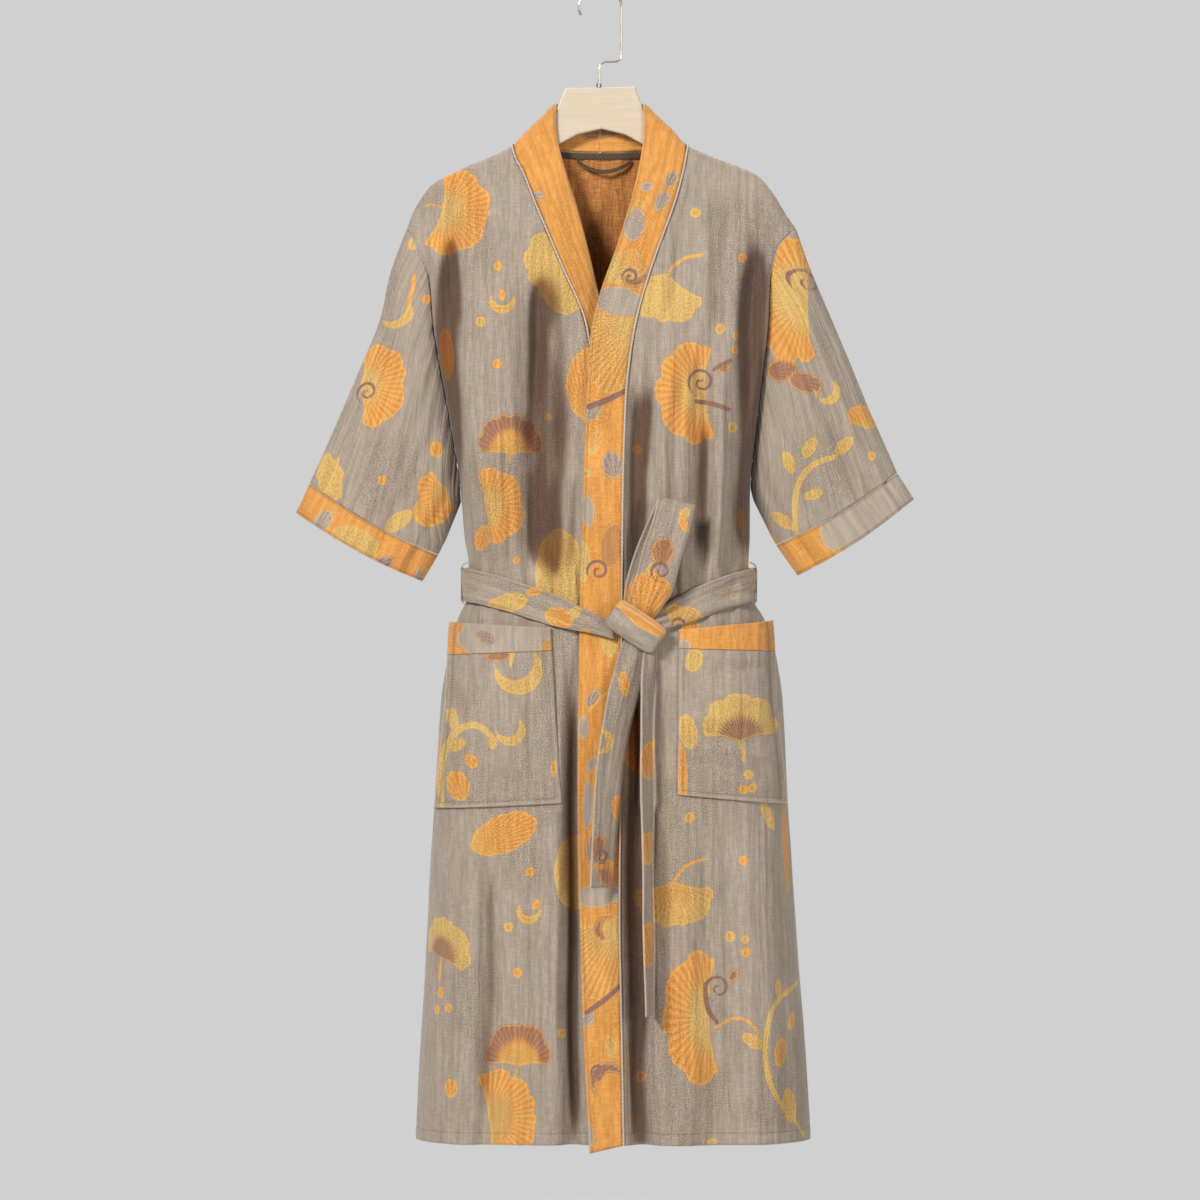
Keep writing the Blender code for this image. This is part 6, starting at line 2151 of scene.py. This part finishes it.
    def knot_grid(self) -> ClothGrid:
        """Lays out the knot: a flattened roll of wrapped cloth that leans down to the right.

        Returns:
            Its grid.
        """
        beads = ((-34, 13, 1.5), (-32, 16.5, 4.5), (-26, 18, 7.5), (-14, 18.8, 9.5), (0, 19, 10.5),
            (14, 19, 9.5),
                 (26, 17.8, 7.0), (31, 15.5, 4.0), (32.5, 12.5, 1.5))
        rows, columns = density(64), density(72)
        keys = np.linspace(-34, 32.5, rows)
        tall = Curve(tuple((bead[0], bead[1]) for bead in beads)).at(keys)[:, None]
        thick = Curve(tuple((bead[0], bead[2]) for bead in beads)).at(keys)[:, None]
        angle = np.linspace(0, 2 * np.pi, columns, endpoint=False)[None, :]
        rise = np.sign(np.cos(angle)) * np.abs(np.cos(angle)) ** 0.7
        lean = math.radians(self.knot_lean)
        along = np.array([math.cos(lean), 0, math.sin(lean)])
        up = np.array([-math.sin(lean), 0, math.cos(lean)])
        centre = np.array([42.0, -self.knot_back - 9.4, -747.0])
        layers = 1.5 * np.abs(np.sin(angle * 2.5 + keys[:, None] / 30)) + 0.5 * np.sin(angle * 9 + keys[:,
            None] / 7)
        groove = -2.6 * np.exp(-(((rise + 0.05 + keys[:, None] / 160) / 0.09) ** 2)) * (np.sin(angle) > 0)
        thick = thick * (1 - 0.12 * np.cos(angle) ** 2) + (layers + groove - 0.8) * smooth((thick - 2) / 4)
        out = np.array([0.0, -1.0, 0.0])
        points = centre + along * keys[:, None, None] + up * (tall * rise)[...,
            None] + out * (thick * np.sin(angle))[..., None]
        flat = as_seen(points)
        thread = np.stack([angle * 18 + 0 * keys[:, None], keys[:, None] + 0 * angle], axis=-1)
        grid = ClothGrid(points, flat, thread, closed=True)
        top = np.maximum(np.exp(-(((rise - 0.9) / 0.03) ** 2)), np.exp(-(((rise - 0.7) / 0.04) ** 2)))
        grid.pale_edge_and_painted_shade = np.broadcast_to(0.85 * top * (np.sin(angle) > 0), thread.shape[:2])
        return grid

    def loop_grid(self, side: int) -> ClothGrid:
        """Lays out a narrow loop at a side seam.

        Args:
            side: -1 for the left side, 1 for the right.

        Returns:
            Its grid.
        """
        far = self.seat + 3.4
        path = ((671, 1.2), (675, far), (690, far + 0.2), (706, far + 0.2), (719, far), (723, 2.0))
        edge = float(self.form.side_across(side, self.belt_drop + 3))
        line = PrintChart.rounded(np.array([(edge + side * out, -drop) for drop, out in path]))
        beside = np.linspace(-4, 4, 7)
        points = np.stack([np.broadcast_to(line[:, :1], (len(line), 7)),
            np.broadcast_to(beside, (len(line), 7)),
                           np.broadcast_to(line[:, 1:], (len(line), 7))], axis=-1)
        flat = np.stack([points[..., 1], -points[..., 2]], axis=-1)
        grid = ClothGrid(points, flat, flat)
        return grid if side < 0 else grid.turned()

    def build(self) -> None:
        """Makes the belt's pieces."""
        wrap = self.room.sew("belt_round_waist", self.wrap_grid(), self.wall, self.room.printed, BELT_CHART)
        place_on_body(wrap, "belt_wrap")
        strips = (("belt_loop_of_bow", BOW_LOOP, 150, -14.0, "belt_bow_loop", 0.31, BOW_CHART, False),
                  ("belt_tail_long", FRONT_TAIL, 130, 0.0, "belt_tail_front", 0.30, TAIL_CHART, True),
                  ("belt_tail_side", EDGE_TAIL, 150, 0.0, "belt_tail_edge", 0.42, EDGE_TAIL_CHART, True))
        for name, stations, steps, lean, node, length, chart, flip in strips:
            grid = self.ribbon_grid(stations, steps, lean, 101 + steps)
            grid = grid.turned() if flip else grid
            piece = self.room.sew(name, grid, self.ribbon_wall, self.room.printed, chart)
            place_on_body(piece, node)
        knot = self.room.sew("belt_tied_knot", self.knot_grid(), 1.2, self.room.printed, KNOT_CHART)
        place_on_body(knot, "belt_knot")
        for side, word in ((-1, "left"), (1, "right")):
            loop = self.room.sew(f"belt_carrier_{word}", self.loop_grid(side), 1.2, self.room.piping,
                PrintChart())
            place_on_body(loop, f"belt_loop_{word}")


@dataclass
class NeckTape:
    """The twill tape inside the back neck, and the hanging loop under it."""

    form: BodyForm
    room: Workroom
    height: float = 7.0
    loop_width: float = 4.4

    def tape_grid(self) -> ClothGrid:
        """Lays out the tape.

        Returns:
            Its grid.
        """
        share, below = np.meshgrid(np.linspace(0, 1, 60), np.linspace(1.2, 1.2 + self.height, 7))
        across = mix(-46, 49, share)
        drop = self.form.back_neck(across / 205 + 0.5)[1] + below
        out = self.form.depth(across, drop, False) - CLOTH_WALL - 2.4 - 0.3 * np.sin(across / 5)
        flat = np.stack([across, drop], axis=-1)
        return ClothGrid(np.stack([across, out, -drop], axis=-1), flat, flat).turned()

    def loop_grid(self) -> ClothGrid:
        """Lays out the hanging loop.

        Returns:
            Its grid.
        """
        share, beside = np.meshgrid(np.linspace(0, 1, 60), np.linspace(-0.5, 0.5, 7), indexing="ij")
        across = mix(-27, 37, share)
        hang = np.sin(np.pi * share)
        drop = 202.8 + 13 * np.clip(hang, 0, 1) ** 0.8
        out = self.form.depth(across, 196 + 0 * across, False) - CLOTH_WALL - 2.6 - 5.5 * hang
        points = np.stack([across, out + 0.3 * np.cos(np.pi * beside), -drop - beside * self.loop_width],
            axis=-1)
        flat = np.stack([across, drop + beside * self.loop_width], axis=-1)
        return ClothGrid(points, flat, flat)

    def build(self) -> None:
        """Makes the tape and the loop."""
        tape = self.room.sew("neck_twill_tape", self.tape_grid(), 1.0, self.room.tape, PrintChart())
        place_on_body(tape, "neck_tape")
        loop = self.room.sew("hanging_loop_tape", self.loop_grid(), 1.0, self.room.tape, PrintChart())
        place_on_body(loop, "hanging_loop")


@dataclass
class Studio:
    """The pale floor and backdrop, the soft lights and the camera."""

    backdrop: str = "#D0D0D0"
    floor_drop: float = 1500.0
    wall_back: float = 3.2
    wall_top: float = 4.0
    paper_reach: float = 6.0
    camera_distance: float = 7.0
    view_height: float = 1.3835
    view_drop: float = 715.7

    def build(self) -> None:
        """Makes the studio."""
        self.sweep()
        self.softbox("key_softbox", (-3.2, -5.3, 2.3), (0.0, 0.0, -0.75), 1.5, 400.0)
        self.softbox("fill_softbox", (2.8, -3.6, -0.3), (0.2, 0.0, -0.75), 1.4, 64.0)
        self.softbox("top_softbox", (0.6, -0.8, 2.2), (0.0, 0.0, -0.7), 1.6, 14.0)
        self.softbox("backdrop_softbox", (0.0, 1.2, 1.4), (0.0, 3.0, -0.8), 2.4, 85.0)
        world = bpy.data.worlds.new("studio_air")
        bpy.context.scene.world = world
        world.use_nodes = True
        tree = world.node_tree
        air = tree.nodes["Background"]
        air.inputs["Color"].default_value = linear("#FFF1E4")
        air.inputs["Strength"].default_value = 0.09
        backdrop = add_node(tree, "ShaderNodeBackground",
            {"Color": linear(self.backdrop), "Strength": 1.0}).outputs[0]
        seen = add_node(tree, "ShaderNodeLightPath", {}).outputs["Is Camera Ray"]
        both = add_node(tree, "ShaderNodeMixShader", {0: seen, 1: air.outputs[0], 2: backdrop}).outputs[0]
        tree.links.new(both, tree.nodes["World Output"].inputs["Surface"])
        data = bpy.data.cameras.new("front_camera")
        data.sensor_width = 36.0
        data.lens = 36.0 * self.camera_distance / self.view_height
        camera = bpy.data.objects.new("front_camera", data)
        camera.location = (0.0, -self.camera_distance - 0.08, -self.view_drop * MM)
        camera.rotation_euler = (math.radians(90), 0, 0)
        bpy.context.scene.collection.objects.link(camera)
        bpy.context.scene.camera = camera
        bpy.context.scene.view_settings.view_transform = "Standard"

    def sweep(self) -> None:
        """Makes the paper floor, which fades into the backdrop's tone, and the wall that bounces light."""
        low, back, reach = -self.floor_drop * MM, self.wall_back, self.paper_reach
        material, tree, shader = new_material("paper_matt_pale_grey")
        grain = add_node(tree, "ShaderNodeTexNoise", {"Scale": 3.0, "Detail": 2.0}).outputs[0]
        colour = blend_colour(tree, grain, linear("#D3D3D4"), linear("#D5D5D6"))
        set_inputs(tree, shader, {"Base Color": colour, "Roughness": 1.0, "Specular IOR Level": 0.0})
        place = add_node(tree, "ShaderNodeTexCoord", {}).outputs["Object"]
        away = add_node(tree, "ShaderNodeVectorMath", {0: place, 1: (1.0, 1.0, 0.0)},
            operation="MULTIPLY").outputs[0]
        radius = add_node(tree, "ShaderNodeVectorMath", {0: away}, operation="LENGTH").outputs["Value"]
        tree.links.new(ramp(tree, radius, 0.35, 0.95, 1.0, 0.0), shader.inputs["Alpha"])
        floor = [(-reach, -reach, low), (reach, -reach, low), (reach, reach, low), (-reach, reach, low)]
        wall = [(-reach, back, low), (reach, back, low), (reach, back, self.wall_top),
            (-reach, back, self.wall_top)]
        for name, points, shown in (("paper_floor", floor, True), ("paper_wall", wall, False),
                ("paper_ground", floor, False)):
            mesh = bpy.data.meshes.new(name)
            mesh.from_pydata([(x, y, z - (0.0 if shown else 0.01)) for x, y, z in points], [],
                [(0, 1, 2, 3)])
            mesh.materials.append(material if shown else self.bounce())
            paper = bpy.data.objects.new(name, mesh)
            paper.visible_camera = shown
            bpy.context.scene.collection.objects.link(paper)

    @staticmethod
    def bounce() -> bpy.types.Material:
        """Makes the finish of the white boards that bounce light and aren't seen.

        Returns:
            The finish.
        """
        material, tree, shader = new_material("board_matt_pale_grey")
        set_inputs(tree, shader,
            {"Base Color": linear("#D4D4D5"), "Roughness": 1.0, "Specular IOR Level": 0.0})
        return material

    @staticmethod
    def softbox(name: str, place: tuple[float, float, float], target: tuple[float, float, float],
            size: float, power: float) -> None:
        """Adds a square soft light that points at a target.

        Args:
            name: the light's name.
            place: where it is, in metres.
            target: where it points.
            size: the length of its side, in metres.
            power: its power in watts.
        """
        light = bpy.data.lights.new(name, "AREA")
        light.size = size
        light.energy = power
        lamp = bpy.data.objects.new(name, light)
        lamp.location = place
        lamp.rotation_euler = (Vector(target) - Vector(place)).to_track_quat("-Z", "Y").to_euler()
        bpy.context.scene.collection.objects.link(lamp)


def dress_hanger(room: Workroom) -> None:
    """Gives the board, hook and ferrule, which keep their CAD shape, their real finishes.

    Args:
        room: the finishes.
    """
    for node, finish in (("hanger_board", room.board), ("hanger_hook", room.wire),
            ("hook_ferrule", room.wire)):
        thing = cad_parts[node]
        thing.data.materials.clear()
        thing.data.materials.append(finish)
        if node != "hook_ferrule":
            thing.data.shade_smooth()
        LOG.info("%s has its finish", node)


def main() -> None:
    """Builds the studio and the robe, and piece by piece."""
    logging.basicConfig(level=logging.INFO, format="%(message)s")
    Studio().build()
    room = Workroom()
    form = BodyForm()
    Body(form, room).build()
    NeckBand(form, room).build()
    for side in (-1, 1):
        Sleeve(form, room, side).build()
        Pocket(form, room, side).build()
    Belt(form, room).build()
    NeckTape(form, room).build()
    dress_hanger(room)
    bpy.context.view_layer.update()


if __name__ == "__main__":
    main()
